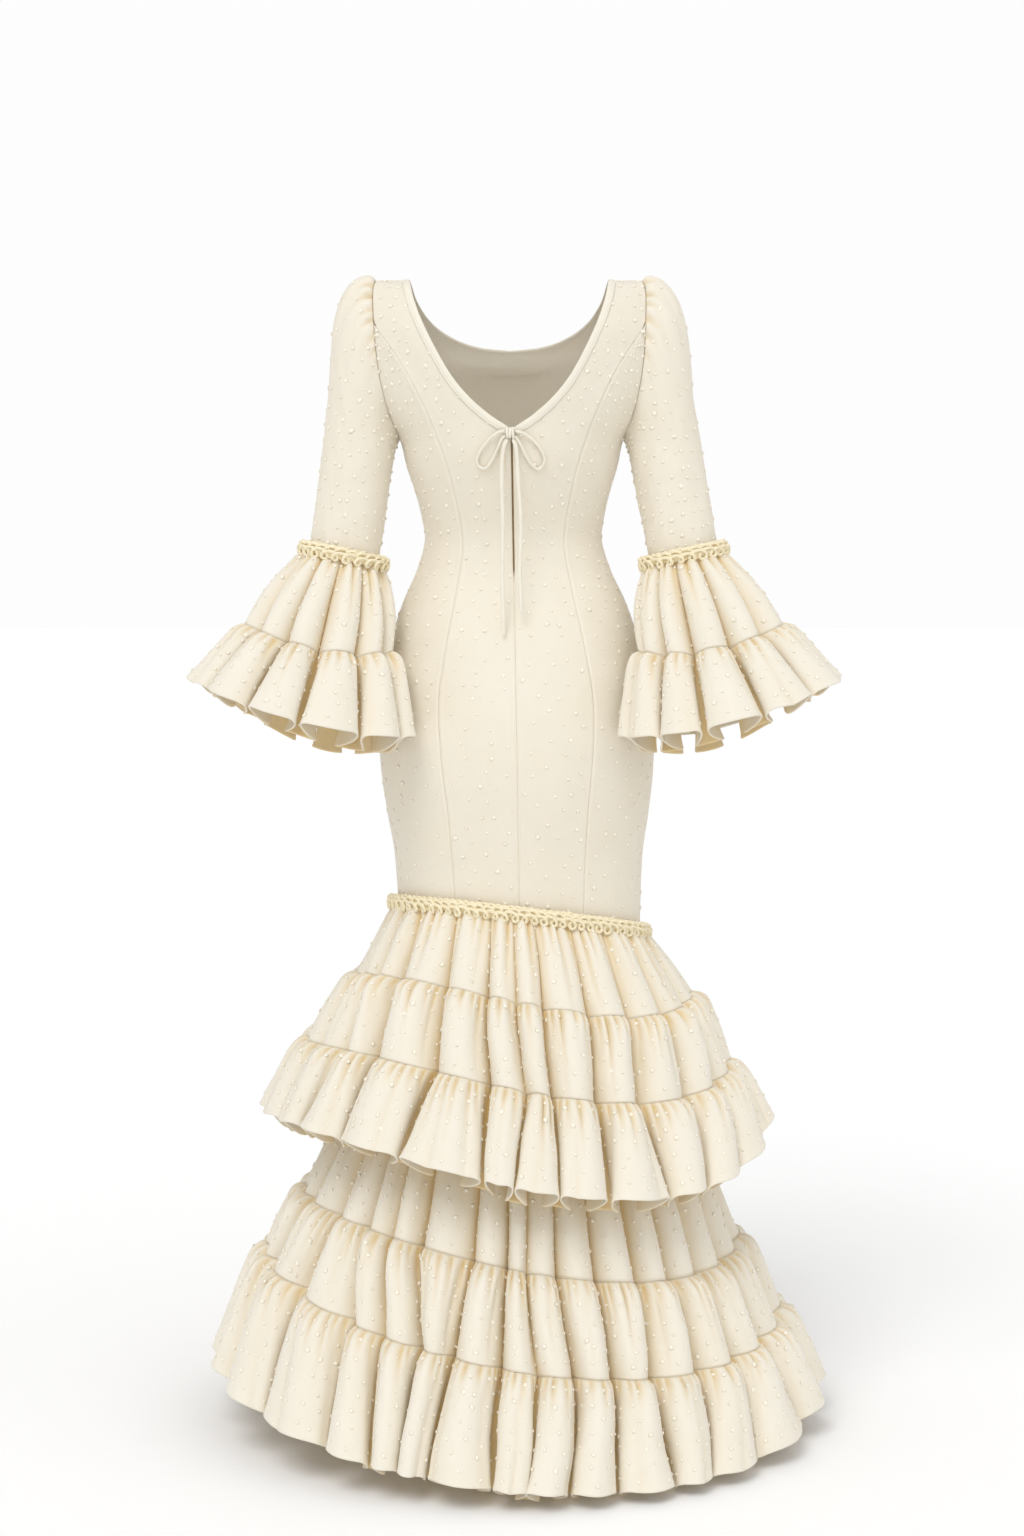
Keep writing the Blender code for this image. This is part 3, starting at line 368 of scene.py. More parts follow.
def crepe_look(name, colour, shade, deep, thread=0.0008):
    """Matt satin-backed crepe: plain weave, fine pebbling, slubs and a slow drift of tone, with painted shade
    and a painted glow in its folds.
    """
    look = Look(name, Sheen_Weight=0.22, Sheen_Roughness=0.45, Specular_IOR_Level=0.36, Emission_Strength=1.0)
    uv, across, down = look.cloth()
    turn = 2 * math.pi / thread
    weave = (across * turn).sine() * (down * turn).sine()
    slub_across = look.noise(look.stretched(uv, (55.0, 750.0, 1.0)), 1.0)
    slub_down = look.noise(look.stretched(uv, (750.0, 55.0, 1.0)), 1.0)
    slubs = slub_across * 0.5 + slub_down * 0.5
    pebble = look.noise(uv, 620.0, 3.0)
    drift = look.noise(uv, 9.0, 3.0)
    tone = drift * 0.75 + slubs * 0.55 + pebble * 0.20 - 0.38
    painted_shade = look.painted_shade()
    # Painted shade: the colour turns dark and warm as the point's painted shade rises; deep is the colour of
    # that painted shade.
    look.feed("Base Color", look.mix(painted_shade, look.mix(tone, rgba(colour), rgba(shade)), rgba(deep)))
    # Painted glow in the folds, in place of light coming through the thin cloth.
    look.feed("Emission Color", look.mix(painted_shade, rgba((0.0, 0.0, 0.0)), rgba(PAINTED_FOLD_GLOW)))
    look.feed("Roughness", 0.50 + pebble * 0.16 + slubs * 0.08)
    creases = look.noise(look.stretched(uv, (26.0, 15.0, 1.0)), 1.0, 4.0)
    rumple = look.bump(creases, 0.0030, 0.55)
    grain = look.bump(slubs * 0.9 + pebble * 0.6, 0.0004, 0.6, rumple)
    look.feed("Normal", look.bump(weave, 0.0001, 0.5, grain))
    return look.material


def dot_look(name, colour):
    """Tufted thread: lighter than the ground and rough, with painted shadow round its foot."""
    look = Look(name, Sheen_Weight=0.2, Specular_IOR_Level=0.35)
    where = look.place()
    fibres = look.noise(where, 900.0, 3.0)
    thread = look.mix(fibres, rgba(colour, 0.93), rgba(colour, 1.04))
    # Painted shadow: each dot's foot is mixed towards a dark tan.
    look.feed("Base Color", look.mix(look.painted_shade(), thread, rgba(colour, 0.64, 0.53, 0.38)))
    look.feed("Roughness", 0.45 + fibres * 0.25)
    look.feed("Normal", look.bump(fibres, 0.0005, 0.8))
    return look.material


def lace_look(name, colour):
    """Ribbed lace: fine ribs across the strip, darker between them, with painted shade where it lies deep and
    a faint painted glow all over.
    """
    # A faint painted glow all over the lace.
    look = Look(name, Sheen_Weight=0.2, Specular_IOR_Level=0.3, Emission_Color=rgba(PAINTED_FOLD_GLOW, 0.6),
                Emission_Strength=1.0)
    uv, across, down = look.cloth()
    ribs = (across * (2 * math.pi / 0.0016)).sine() * 0.5 + 0.5
    bars = (down * (2 * math.pi / 0.0030)).sine() * 0.5 + 0.5
    fibres = look.noise(uv, 700.0, 3.0)
    depth = ribs * 0.5 + bars * 0.2 + fibres * 0.5
    thread = look.mix(depth, rgba(colour, 0.86), rgba(colour, 1.04))
    # Painted shade: the strip turns tan where it lies deep behind the loops.
    look.feed("Base Color", look.mix(look.painted_shade(), thread, rgba(colour, 0.88, 0.74, 0.52)))
    look.feed("Roughness", 0.62 + fibres * 0.2)
    look.feed("Normal", look.bump(depth, 0.0007, 0.9))
    return look.material


def zip_look(name, colour, rough):
    look = Look(name, Specular_IOR_Level=0.5)
    where = look.place()
    grain = look.noise(where, 1500.0)
    look.feed("Base Color", look.mix(grain, rgba(colour, 0.7), rgba(colour)))
    look.feed("Roughness", rough + grain * 0.2)
    look.feed("Normal", look.bump(grain, 0.0002, 0.6))
    return look.material


def material(name):
    """The finish of that name, made when it is first asked for."""
    if name not in bpy.data.materials:
        colours = bpy.context.scene.dress_colours
        makers = {
            "ivory_crepe": lambda: crepe_look(name, colours.crepe, colours.crepe_shade, colours.crepe_painted_shade),
            "crepe_dots": lambda: dot_look(name, colours.dot),
            "curled_lace": lambda: lace_look(name, colours.lace),
            "bias_cloth": lambda: crepe_look(name, colours.cord, colours.crepe, colours.crepe_painted_shade, 0.0006),
            "zip_tape": lambda: zip_look(name, colours.zip_tape, 0.55),
            "zip_coil": lambda: zip_look(name, colours.zip_coil, 0.30),
            "studio_floor": lambda: floor_look(name, colours.floor),
        }
        makers[name]()
    return bpy.data.materials[name]


def floor_look(name, colour):
    """Matt paper sweep with a trace of grain."""
    look = Look(name, Specular_IOR_Level=0.1, Emission_Color=(1.0, 1.0, 1.0, 1.0), Emission_Strength=0.02)
    where = look.place()
    grain = look.noise(where, 35.0, 3.0)
    look.feed("Base Color", look.mix(grain, rgba(colour, 0.99), rgba(colour)))
    look.feed("Roughness", 0.8 + grain * 0.1)
    return look.material


# ======================================================================================= curves and forms


def between(rows, z, column=1):
    """A column of a table at heights z, by a smooth curve through its rows, which run downwards."""
    heights, values = rows[:, 0], rows[:, column]
    z = np.clip(z, heights[-1], heights[0])
    last = len(heights) - 1
    at = np.clip(np.searchsorted(-heights, -z) - 1, 0, last - 1)
    order = np.arange(last + 1)
    low, high = np.maximum(order - 1, 0), np.minimum(order + 1, last)
    slopes = (values[high] - values[low]) / (heights[high] - heights[low])
    span = heights[at + 1] - heights[at]
    t = (z - heights[at]) / span
    start = (1 + 2 * t) * (1 - t) ** 2 * values[at] + t * (1 - t) ** 2 * span * slopes[at]
    end = t * t * (3 - 2 * t) * values[at + 1] - t * t * (1 - t) * span * slopes[at + 1]
    return start + end


def station(z):
    """Distance down the cloth from the shoulder seam to height z."""
    z = np.asarray(z, float)
    rolled = SHOULDER_ROLL * (np.pi / 2 - np.arcsin(np.clip(1 + z / SHOULDER_ROLL, -1.0, 1.0)))
    return np.where(z < -SHOULDER_ROLL, SHOULDER_ROLL * np.pi / 2 - SHOULDER_ROLL - z, rolled)


def height(s):
    s = np.asarray(s, float)
    straight = SHOULDER_ROLL * (np.pi / 2 - 1) - s
    return np.where(s > SHOULDER_ROLL * np.pi / 2, straight, SHOULDER_ROLL * (np.cos(s / SHOULDER_ROLL) - 1))


def body(angle, s):
    """Points of the body's cloth at angles and at distances s down from the shoulder seam."""
    angle, s = np.broadcast_arrays(np.asarray(angle, float), np.asarray(s, float))
    z = height(s)
    turned = (angle + 180) % 360 - 180
    depth = np.where(np.abs(turned) <= 90, between(BODY, z, BACK), between(BODY, z, FRONT))
    roll = np.sin(np.minimum(s / SHOULDER_ROLL, np.pi / 2))
    turn = np.radians(angle)
    x = LEAN * z + between(BODY, z, HALF_WIDTH) * np.sin(turn)
    return np.stack([x, depth * roll * np.cos(turn), z], axis=-1)


def edge_angle(edge, z, front=False):
    """The angles at which an edge, given by its distance from the centre line, crosses heights z."""
    share = np.minimum(between(edge, z) / between(BODY, z, HALF_WIDTH), 1.0)
    angle = np.degrees(np.arcsin(share))
    return 180 - angle if front else angle


def ring_height(ring, angle):
    side, back = np.sin(np.radians(angle)), np.cos(np.radians(angle))
    reach = np.hypot(back, RING_REACH)
    slope = ring.tilt * side + ring.pitch * back
    return ring.mean + slope + ring.sag * reach + 2 * ring.skew * side * reach


def ring_points(ring, angle, depth=0.0):
    """Points on a skirt ring, moved inwards by a depth."""
    if ring is HIP_SEAM:
        return body(angle, station(ring_height(ring, angle)))
    turn = np.radians(angle)
    x = ring.centre + (ring.half_width - depth) * np.sin(turn)
    y = (ring.half_depth - depth) * np.cos(turn)
    return np.stack([x, y, ring_height(ring, angle)], axis=-1)


def unit(vectors):
    return vectors / np.maximum(np.linalg.norm(vectors, axis=-1, keepdims=True), 1e-12)


def grid_normals(points, closed, centre=None):
    """Outward unit normals of a grid whose rows run down and whose columns run across."""
    if closed:
        across = np.roll(points, -1, axis=1) - np.roll(points, 1, axis=1)
    else:
        across = np.gradient(points, axis=1)
    normals = unit(np.cross(across, np.gradient(points, axis=0)))
    middle = points.mean(axis=1, keepdims=True) if centre is None else centre
    return -normals if np.sum(normals * (points - middle)) < 0 else normals


def lengths(points, axis, closed=False):
    """Mean distance travelled along an axis of a grid, from its first row or column."""
    if closed:
        points = np.concatenate([points, points[:, :1]], axis=1)
    steps = np.linalg.norm(np.diff(points, axis=axis), axis=-1).mean(axis=1 - axis)
    return np.concatenate([[0.0], np.cumsum(steps)])


def run_along(line):
    """Distance travelled along a line of points, from its first."""
    return np.concatenate([[0.0], np.cumsum(np.linalg.norm(np.diff(line, axis=0), axis=1))])


def on_line(way, run, line):
    """Points on a line at distances along it."""
    return np.stack([np.interp(way, run, line[:, k]) for k in range(3)], -1)


def facing(vectors, outward):
    """Vectors turned round where they point against an outward direction."""
    return vectors * np.sign(np.sum(vectors * outward, axis=-1, keepdims=True))


def body_normal(angle, s, turn, drop, outward):
    """Normals of the body's cloth, from its points a turn round and a drop down either way."""
    across = body(angle + turn, s) - body(angle - turn, s)
    down = body(angle, s + drop) - body(angle, np.maximum(s - drop, 0.0))
    return facing(unit(np.cross(across, down)), outward)


def both_sides(angles, drops):
    """A neck edge carried on from the centre front up its other side."""
    return np.concatenate([angles, 360 - angles[-2::-1]]), np.concatenate([drops, drops[-2::-1]])


def wander(at, seed, period=0):
    """A smooth random wave between -1 and 1 whose bends are one apart. It repeats after a whole period."""
    knots = np.random.default_rng(seed).uniform(-1, 1, 997)
    count = int(period) or len(knots)
    low = np.floor(at).astype(int)
    t = at - low
    t = t * t * (3 - 2 * t)
    return knots[low % count] * (1 - t) + knots[(low + 1) % count] * t


def ripple(across, down, seed, period=0):
    """A smooth random surface whose bends are one apart both ways."""
    knots = np.random.default_rng(seed).uniform(-1, 1, (211, 61))
    count = int(period) or 211
    i, j = np.floor(across).astype(int), np.floor(down).astype(int)
    s, t = across - i, down - j
    s, t = s * s * (3 - 2 * s), t * t * (3 - 2 * t)
    first = knots[i % count, j % 61] * (1 - s) + knots[(i + 1) % count, j % 61] * s
    second = knots[i % count, (j + 1) % 61] * (1 - s) + knots[(i + 1) % count, (j + 1) % 61] * s
    return first * (1 - t) + second * t


def creased(points, normals, creases):
    """Points moved along their normals by creases (start, end, width, depth), which go in if below 0."""
    moved = np.zeros(points.shape[:-1])
    for start, end, width, depth in creases:
        start, end = np.array(start, float), np.array(end, float)
        line = end - start
        t = np.clip(((points - start) @ line) / (line @ line), 0.0, 1.0)
        away = np.linalg.norm(points - start - t[..., None] * line, axis=-1)
        fade = np.sin(np.pi * (0.12 + 0.76 * t)) ** 0.8
        moved += depth * fade * np.exp(-((away / width) ** 2))
    return points + normals * moved[..., None]


def smooth_down(points, passes):
    """Evens a grid along its columns, leaving the first and last rows where they are."""
    for _ in range(passes):
        points[1:-1] = (points[:-2] + 2 * points[1:-1] + points[2:]) / 4
    return points


# ======================================================================================= meshes


def add_piece(name, mesh, finish, replaces=(), smooth=True):
    """A piece of the dress that rides on the body."""
    mesh.materials.append(material(finish))
    if smooth:
        mesh.shade_smooth()
    piece = bpy.data.objects.new(name, mesh)
    bpy.context.scene.collection.objects.link(piece)
    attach(piece, "root")
    if replaces:
        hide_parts(*replaces)
    return piece


def new_mesh(name, vertices, faces, uvs=None, painted_shade=None):
    """A mesh with UVs in metres, and the painted shade of each of its points, where it has them."""
    mesh = bpy.data.meshes.new(name)
    mesh.from_pydata(vertices, [], faces)
    if uvs is not None:
        mesh.uv_layers.new(name="cloth").data.foreach_set("uv", np.asarray(uvs, np.float32).ravel())
    if painted_shade is not None:
        values = mesh.attributes.new("painted_shade", "FLOAT", "POINT").data
        values.foreach_set("value", np.asarray(painted_shade, np.float32))
    return mesh


def grid_cells(rows, cells):
    """Rows and columns of the four corners of each cell of a grid."""
    i, j = np.meshgrid(np.arange(rows - 1), np.arange(cells), indexing="ij")
    i, j = i.ravel(), j.ravel()
    return np.stack([i, i, i + 1, i + 1], 1), np.stack([j, j + 1, j + 1, j], 1)


def shell_mesh(name, points, normals, half, closed, painted_shade=None):
    """A mesh of two skins, half a thickness out and in from a grid, joined at its rims."""
    rows, columns = points.shape[:2]
    cells = columns if closed else columns - 1
    half = np.broadcast_to(half, points.shape[:2])[..., None]
    vertices = np.concatenate([(points + normals * part).reshape(-1, 3) for part in (half, -half)])
    i, j = grid_cells(rows, cells)
    skin = np.zeros_like(i)
    corners = [(i, j, skin), (i[:, ::-1], j[:, ::-1], skin + 1)]
    run = np.arange(cells)
    for row, order in ((0, (1, 0, 0, 1)), (rows - 1, (0, 1, 1, 0))):
        columns_of = np.stack([run + step for step in order], 1)
        corners.append((np.full_like(columns_of, row), columns_of, np.tile([0, 0, 1, 1], (cells, 1))))
    if not closed:
        run = np.arange(rows - 1)
        for column, order in ((0, (0, 1, 1, 0)), (cells, (1, 0, 0, 1))):
            rows_of = np.stack([run + step for step in order], 1)
            corners.append((rows_of, np.full_like(rows_of, column), np.tile([0, 0, 1, 1], (rows - 1, 1))))
    i, j, skin = (np.concatenate([corner[k] for corner in corners]) for k in range(3))
    across = np.roll(points, -1, axis=1)[:-1, :-1] - points[:-1, :-1]
    down = points[1:, :-1] - points[:-1, :-1]
    if np.sum(np.cross(across, down) * normals[:-1, :-1]) < 0:
        i, j, skin = i[:, ::-1], j[:, ::-1], skin[:, ::-1]
    faces = skin * rows * columns + i * columns + j % columns
    u, v = lengths(points, 1, closed), lengths(points, 0)
    if painted_shade is not None:
        painted_shade = np.tile(np.clip(np.broadcast_to(painted_shade, points.shape[:2]), 0, 1).ravel(), 2)
    return new_mesh(name, vertices.tolist(), faces.tolist(), np.stack([u[j], v[i]], -1), painted_shade)


def tube_mesh(name, path, half_width, half_depth, outwards, sides=8, closed=False, taper=0.0):
    """A tube of oval section along a path. Its depth is measured along outwards, its width square to that."""
    count = len(path)
    if closed:
        along = unit(np.roll(path, -1, axis=0) - np.roll(path, 1, axis=0))
    else:
        along = unit(np.gradient(path, axis=0))
    outwards = np.broadcast_to(outwards, path.shape)
    side = unit(np.cross(along, outwards))
    out = unit(np.cross(side, along))
    turn = 2 * np.pi * np.arange(sides) / sides
    size = np.ones(count)
    if taper:
        size[[0, -1]] = taper
        size[[1, -2]] = 1 - (1 - taper) * 0.25
    half_width = np.broadcast_to(half_width, (count,)) * size
    half_depth = np.broadcast_to(half_depth, (count,)) * size
    ring = (side[:, None] * (np.cos(turn)[None, :, None] * half_width[:, None, None])
            + out[:, None] * (np.sin(turn)[None, :, None] * half_depth[:, None, None]))
    vertices = (path[:, None] + ring).reshape(-1, 3)
    i, j = grid_cells(count + 1 if closed else count, sides)
    faces = ((i % count) * sides + j % sides).tolist()
    u = np.arange(sides + 1) / sides * 2 * np.pi * float(np.mean(half_width))
    v = run_along(path)
    v = np.append(v, v[-1] + np.linalg.norm(path[0] - path[-1]))
    uvs = np.stack([u[j], v[i]], -1).reshape(-1, 2)
    if not closed:
        first, last = list(range(sides)), list(range((count - 1) * sides, count * sides))
        faces += [first, last[::-1]]
        uvs = np.concatenate([uvs, np.stack([np.cos(turn), np.sin(turn)], 1) * 0.001,
                              np.stack([np.cos(turn), np.sin(turn)], 1)[::-1] * 0.001])
    return outward_faces(new_mesh(name, vertices.tolist(), faces, uvs))


def outward_faces(mesh):
    """Turns a closed mesh right side out."""
    mesh.validate()
    vertices = np.empty(len(mesh.vertices) * 3)
    mesh.vertices.foreach_get("co", vertices)
    vertices = vertices.reshape(-1, 3)
    mesh.calc_loop_triangles()
    corners = np.empty(len(mesh.loop_triangles) * 3, int)
    mesh.loop_triangles.foreach_get("vertices", corners)
    a, b, c = (vertices[corners.reshape(-1, 3)[:, k]] for k in range(3))
    if np.sum(a * np.cross(b, c)) < 0:
        mesh.flip_normals()
    return mesh


def joined(name, meshes):
    """One mesh made of several."""
    vertices, faces, uvs, start = [], [], [], 0
    for mesh in meshes:
        vertices += [tuple(v.co) for v in mesh.vertices]
        faces += [[start + k for k in face.vertices] for face in mesh.polygons]
        uvs += [tuple(spot.uv) for spot in mesh.uv_layers["cloth"].data]
        start += len(mesh.vertices)
        bpy.data.meshes.remove(mesh)
    return new_mesh(name, vertices, faces, uvs)


def sampled(grid, rows_at, columns_at, closed):
    """Values of a grid at fractional rows and columns."""
    rows, columns = grid.shape[:2]
    i = np.clip(np.floor(rows_at).astype(int), 0, rows - 2)
    j = np.floor(columns_at).astype(int)
    if not closed:
        j = np.clip(j, 0, columns - 2)
    s, t = (rows_at - i)[:, None], (columns_at - j)[:, None]
    k = (j + 1) % columns
    j = j % columns
    return ((grid[i, j] * (1 - t) + grid[i, k] * t) * (1 - s)
            + (grid[i + 1, j] * (1 - t) + grid[i + 1, k] * t) * s)


def dots_mesh(name, points, normals, closed, seed, margin=0.006):
    """Raised dots in staggered, uneven rows on the outer skin of a grid."""
    sizes = bpy.context.scene.dress_sizes
    random = np.random.default_rng(seed)
    row_run, column_run = lengths(points, 0), lengths(points, 1, closed)
    tall, wide = row_run[-1], column_run[-1]
    lines = max(1, round((tall - 2 * margin) / sizes.dot_row))
    in_line = max(2, round(wide / sizes.dot_step))
    downs, acrosses = [], []
    for line in range(lines):
        uneven = random.uniform(-0.30, 0.30, in_line)
        along = (np.arange(in_line) + 0.5 * (line % 2) + 0.25 + uneven) / in_line
        down = margin + (tall - 2 * margin) * (line + 0.5) / lines + random.normal(0, 0.0026, in_line)
        downs.append(down)
        acrosses.append(along * wide)
    downs, acrosses = np.concatenate(downs), np.concatenate(acrosses)
    if closed:
        acrosses = acrosses % wide
    else:
        kept = (acrosses > margin) & (acrosses < wide - margin)
        downs, acrosses = downs[kept], acrosses[kept]
    rows_at = np.interp(downs, row_run, np.arange(len(row_run)))
    columns_at = np.interp(acrosses, column_run, np.arange(len(column_run)))
    place = sampled(points, rows_at, columns_at, closed)
    normal = unit(sampled(normals, rows_at, columns_at, closed))
    count, sides = len(place), 5
    first = unit(np.cross(normal, random.normal(size=(count, 3))))
    second = np.cross(normal, first)
    radius = sizes.dot_radius * random.uniform(0.72, 1.22, count)
    long = random.uniform(0.75, 1.40, count)
    tall_dot = sizes.dot_height * random.uniform(0.7, 1.25, count)
    turn = 2 * np.pi * np.arange(sides) / sides
    vertices = []
    for share, rise in ((1.0, 0.0), (0.74, 0.68)):
        uneven = random.uniform(0.88, 1.12, (count, sides)) * radius[:, None] * share
        x, y = np.cos(turn) * uneven * long[:, None], np.sin(turn) * uneven
        up = CLOTH_HALF * 0.6 + tall_dot * rise
        vertices.append(place[:, None] + first[:, None] * x[..., None] + second[:, None] * y[..., None]
                        + (normal * up[:, None])[:, None])
    vertices.append((place + normal * (tall_dot + CLOTH_HALF)[:, None])[:, None])
    vertices = np.concatenate(vertices, axis=1)
    side = np.array([[k, (k + 1) % sides, sides + (k + 1) % sides, sides + k] for k in range(sides)])
    crown = np.array([[sides + k, sides + (k + 1) % sides, 2 * sides] for k in range(sides)])
    start = np.arange(count)[:, None, None] * (2 * sides + 1)
    faces = (side + start).reshape(-1, 4).tolist() + (crown + start).reshape(-1, 3).tolist()
    # Painted shadow round each dot: its base ring takes full painted shade, its upper ring and crown none.
    painted_foot_shadow = np.tile(np.repeat((1.0, 0.0), (sides, sides + 1)), count)
    return new_mesh(name, vertices.reshape(-1, 3).tolist(), faces, painted_shade=painted_foot_shadow)


def add_cloth(name, points, closed, seed, painted_shade=PANEL_TONE, centre=None, hem=False,
              dotted=True):
    """A cloth piece from its grid, with its dots, standing for the CAD node of the same name."""
    normals = grid_normals(points, closed, centre)
    half = np.full(points.shape[:2], CLOTH_HALF)
    if hem:
        half[-4:] = np.array((0.72, 1.0, 0.85, 0.4))[:, None] * HEM_HALF
    mesh = shell_mesh(name, points, normals, half, closed, painted_shade)
    piece = add_piece(name + "_cloth", mesh, "ivory_crepe", (name,))
    if dotted:
        mesh = dots_mesh("dots_" + name, points, normals, closed, seed)
        add_piece("dots_" + name, mesh, "crepe_dots")
    return piece


# ======================================================================================= flounces


def folded(place, valleys, depths, fold, t, drop=0.0, sway=0.0, hem=0.0):
    """Points, angles and crests of a folded row at fold positions t. place(angle, depth) gives a point."""
    count = len(valleys)
    i = np.floor(t).astype(int) % count
    p = t - np.floor(t)
    following = np.append(valleys[1:], valleys[0] - 360.0)
    pinch = FOLD_PINCH * (1 - hem) + HEM_PINCH * hem
    curl = HEM_CURL * hem * np.sin(4 * np.pi * p) * (1 + np.cos(2 * np.pi * p)) / 2
    across = p - pinch * np.sin(2 * np.pi * p) / (2 * np.pi) + curl
    angle = valleys[i] + (following[i] - valleys[i]) * across + sway
    crest = ((1 - np.cos(2 * np.pi * p)) / 2) ** FOLD_CROWN
    share = depths[i] * (1 - p) + np.roll(depths, -1)[i] * p
    points = place(angle, fold * share * (1 - crest))
    steep = np.clip((0.90 - crest) / 0.68, 0, 1)
    points[:, 2] -= drop * ((1 - crest) * (1 - hem) + steep * steep * (3 - 2 * steep) * hem)
    return points, angle, crest


Flounce = namedtuple("Flounce", "top bottom top_fold bottom_fold top_valleys bottom_valleys depths "
                     "top_drop bottom_drop hem tall reach bulge shade")

# Heights of a flounce's rows, as shares of its height: close under the seam, where the gathers are.
FLOUNCE_ROWS = (0.0, 0.015, 0.04, 0.075, 0.115, 0.165, 0.225, 0.30, 0.39, 0.49, 0.60, 0.71, 0.82, 0.91)
SEAM_ROWS = (0.97, 1.0)
HEM_ROWS = (0.965, 0.982, 0.992, 1.0)


def flounce_grid(flounce, columns_per_gather, seed, strength=1.0):
    """The grid of a gathered flounce, with folds, a puff under the seam, gathers and pleats, and the shade
    painted into its folds, gathers, pleats and seams.
    """
    sizes = bpy.context.scene.dress_sizes
    count = len(flounce.top_valleys)
    fine = np.linspace(0, count, 240 * count + 1)
    runs = []
    curl = 1.0 if flounce.hem else 0.0
    for place, valleys, fold, hem in ((flounce.top, flounce.top_valleys, flounce.top_fold, 0.0),
                                      (flounce.bottom, flounce.bottom_valleys, flounce.bottom_fold, curl)):
        line = folded(place, valleys, flounce.depths, fold, fine, hem=hem)[0]
        runs.append(run_along(line))
    gathers = round(runs[0][-1] / sizes.gather_pitch)
    columns = gathers * columns_per_gather
    even = (runs[0] / runs[0][-1] + runs[1] / runs[1][-1]) / 2
    t = np.interp(np.arange(columns) / columns, even, fine)
    q = np.interp(t, fine, runs[0]) / runs[0][-1] * gathers
    shares = FLOUNCE_ROWS + (HEM_ROWS if flounce.hem else SEAM_ROWS)
    rows, crests, outs = [], [], []
    for share in shares:
        valleys = flounce.top_valleys * (1 - share) + flounce.bottom_valleys * share
        stray = min(1.0, 1.6 * share) if flounce.hem else np.sin(np.pi * share)
        sway = 0.45 * stray * wander(t + 2.3 * share, seed + 5, count)
        high, angle, crest = folded(
            flounce.top, valleys, flounce.depths, flounce.top_fold, t, flounce.top_drop, sway)
        low, _, _ = folded(
            flounce.bottom, valleys, flounce.depths, flounce.bottom_fold, t, flounce.bottom_drop, sway, curl)
        rows.append(high * (1 - share) + low * share)
        crests.append(crest)
        turn = np.radians(angle)
        outs.append(np.stack([np.sin(turn), np.cos(turn), np.zeros_like(turn)], -1))
    points, crest, out = np.array(rows), np.array(crests), np.array(outs)
    share = np.array(shares)[:, None]
    run = share * flounce.tall

    # The cloth springs out under the seam, held in by the gathers, each of which fades at its own rate.
    bent = q + 0.34 * wander(q, seed + 2, gathers)
    which = np.floor(bent + 0.5).astype(int) % gathers
    lots = np.random.default_rng(seed + 3).uniform(0, 1, (2, gathers))
    reach = flounce.reach * (0.011 + 0.020 * lots[0][which] ** 2)
    tuck = 1 - np.abs(np.sin(np.pi * bent))[None] ** (0.50 + 0.90 * np.exp(-run / 0.010))
    held = tuck * (0.60 + 0.40 * lots[1][which])[None] * np.exp(-((run / reach[None]) ** 1.4))
    swell = (1 - np.exp(-run / 0.0038)) * (1 - share) ** 0.85
    puff = sizes.puff * (0.85 + 0.25 * wander(q / 3.0, seed + 1))[None]
    gather = sizes.gather_depth * held * (0.15 + 0.85 * np.clip(run / 0.005, 0, 1))
    puff = puff * swell - gather + flounce.bulge * np.sin(np.pi * share)

    # Some gathers run on as soft pleats down the flounce.
    pleats = max(3, round(gathers / 3.4))
    wide = q * pleats / gathers
    wide = wide + 0.36 * wander(wide, seed + 6, pleats) + 0.10 * share * wander(wide * 1.3, seed + 8)
    pleat = np.abs(np.sin(np.pi * wide)) ** 0.65 - 0.68
    if flounce.hem:
        grow = np.clip(share / 0.25, 0, 1) * (0.60 + 0.40 * share)
    else:
        grow = np.clip(share / 0.20, 0, 1) * np.clip((1 - share) / 0.5, 0, 1) ** 0.7
    depth = 0.75 + 0.55 * wander(wide * 0.7, seed + 7)
    soft = sizes.pleat_depth * pleat * depth * grow
    rumple = 0.0009 * ripple(q[None] * 0.35 + 0 * share, run / 0.022, seed + 9) * np.sin(np.pi * share) ** 0.6

    exposed = 0.25 + 0.75 * crest
    normals = grid_normals(points, True)
    lean = out * 0.85 + normals * (0.35 * crest[..., None])
    points = points + lean * (strength * puff * exposed)[..., None]
    points = points + normals * (strength * (soft + rumple) * exposed)[..., None]
    # Painted shade: darker in the valleys of the folds, in the gathers under the seam, in the pleats, under
    # the flounce above and along the seams.
    painted_shade = 0.80 * (1 - crest) ** 2.0 + 0.80 * np.clip(1.9 * held, 0, 1) * np.clip(run / 0.003, 0, 1) ** 0.5
    painted_shade = painted_shade + 0.21 * np.clip(-pleat, 0, 1) * grow + flounce.shade * np.exp(-((run / 0.075) ** 2))
    painted_shade[0] = 0.35
    if not flounce.hem:
        painted_shade[-1] = 0.12
    return points, np.clip(painted_shade, 0, 1)


def skirt_flounce(top, bottom, folds, top_column, bottom_column, hem_drop):
    """A flounce of the skirt between two rings."""
    first = top.fold < 0.01
    return Flounce(
        top=lambda angle, depth: ring_points(top, angle, depth),
        bottom=lambda angle, depth: ring_points(bottom, angle, depth),
        top_fold=top.fold,
        bottom_fold=bottom.fold,
        top_valleys=folds[:, top_column],
        bottom_valleys=folds[:, bottom_column],
        depths=folds[:, SHARE],
        top_drop=0.0 if first else SEAM_DROOP,
        bottom_drop=hem_drop if bottom_column == HEM else SEAM_DROOP,
        hem=bottom_column == HEM,
        tall=top.mean - bottom.mean,
        reach=1.8 if first else 1.0,
        bulge=0.0,
        # painted shade at the top of the lower group, under the upper group's hem
        shade=0.45 if top is LOWER_TOP else 0.0,
    )


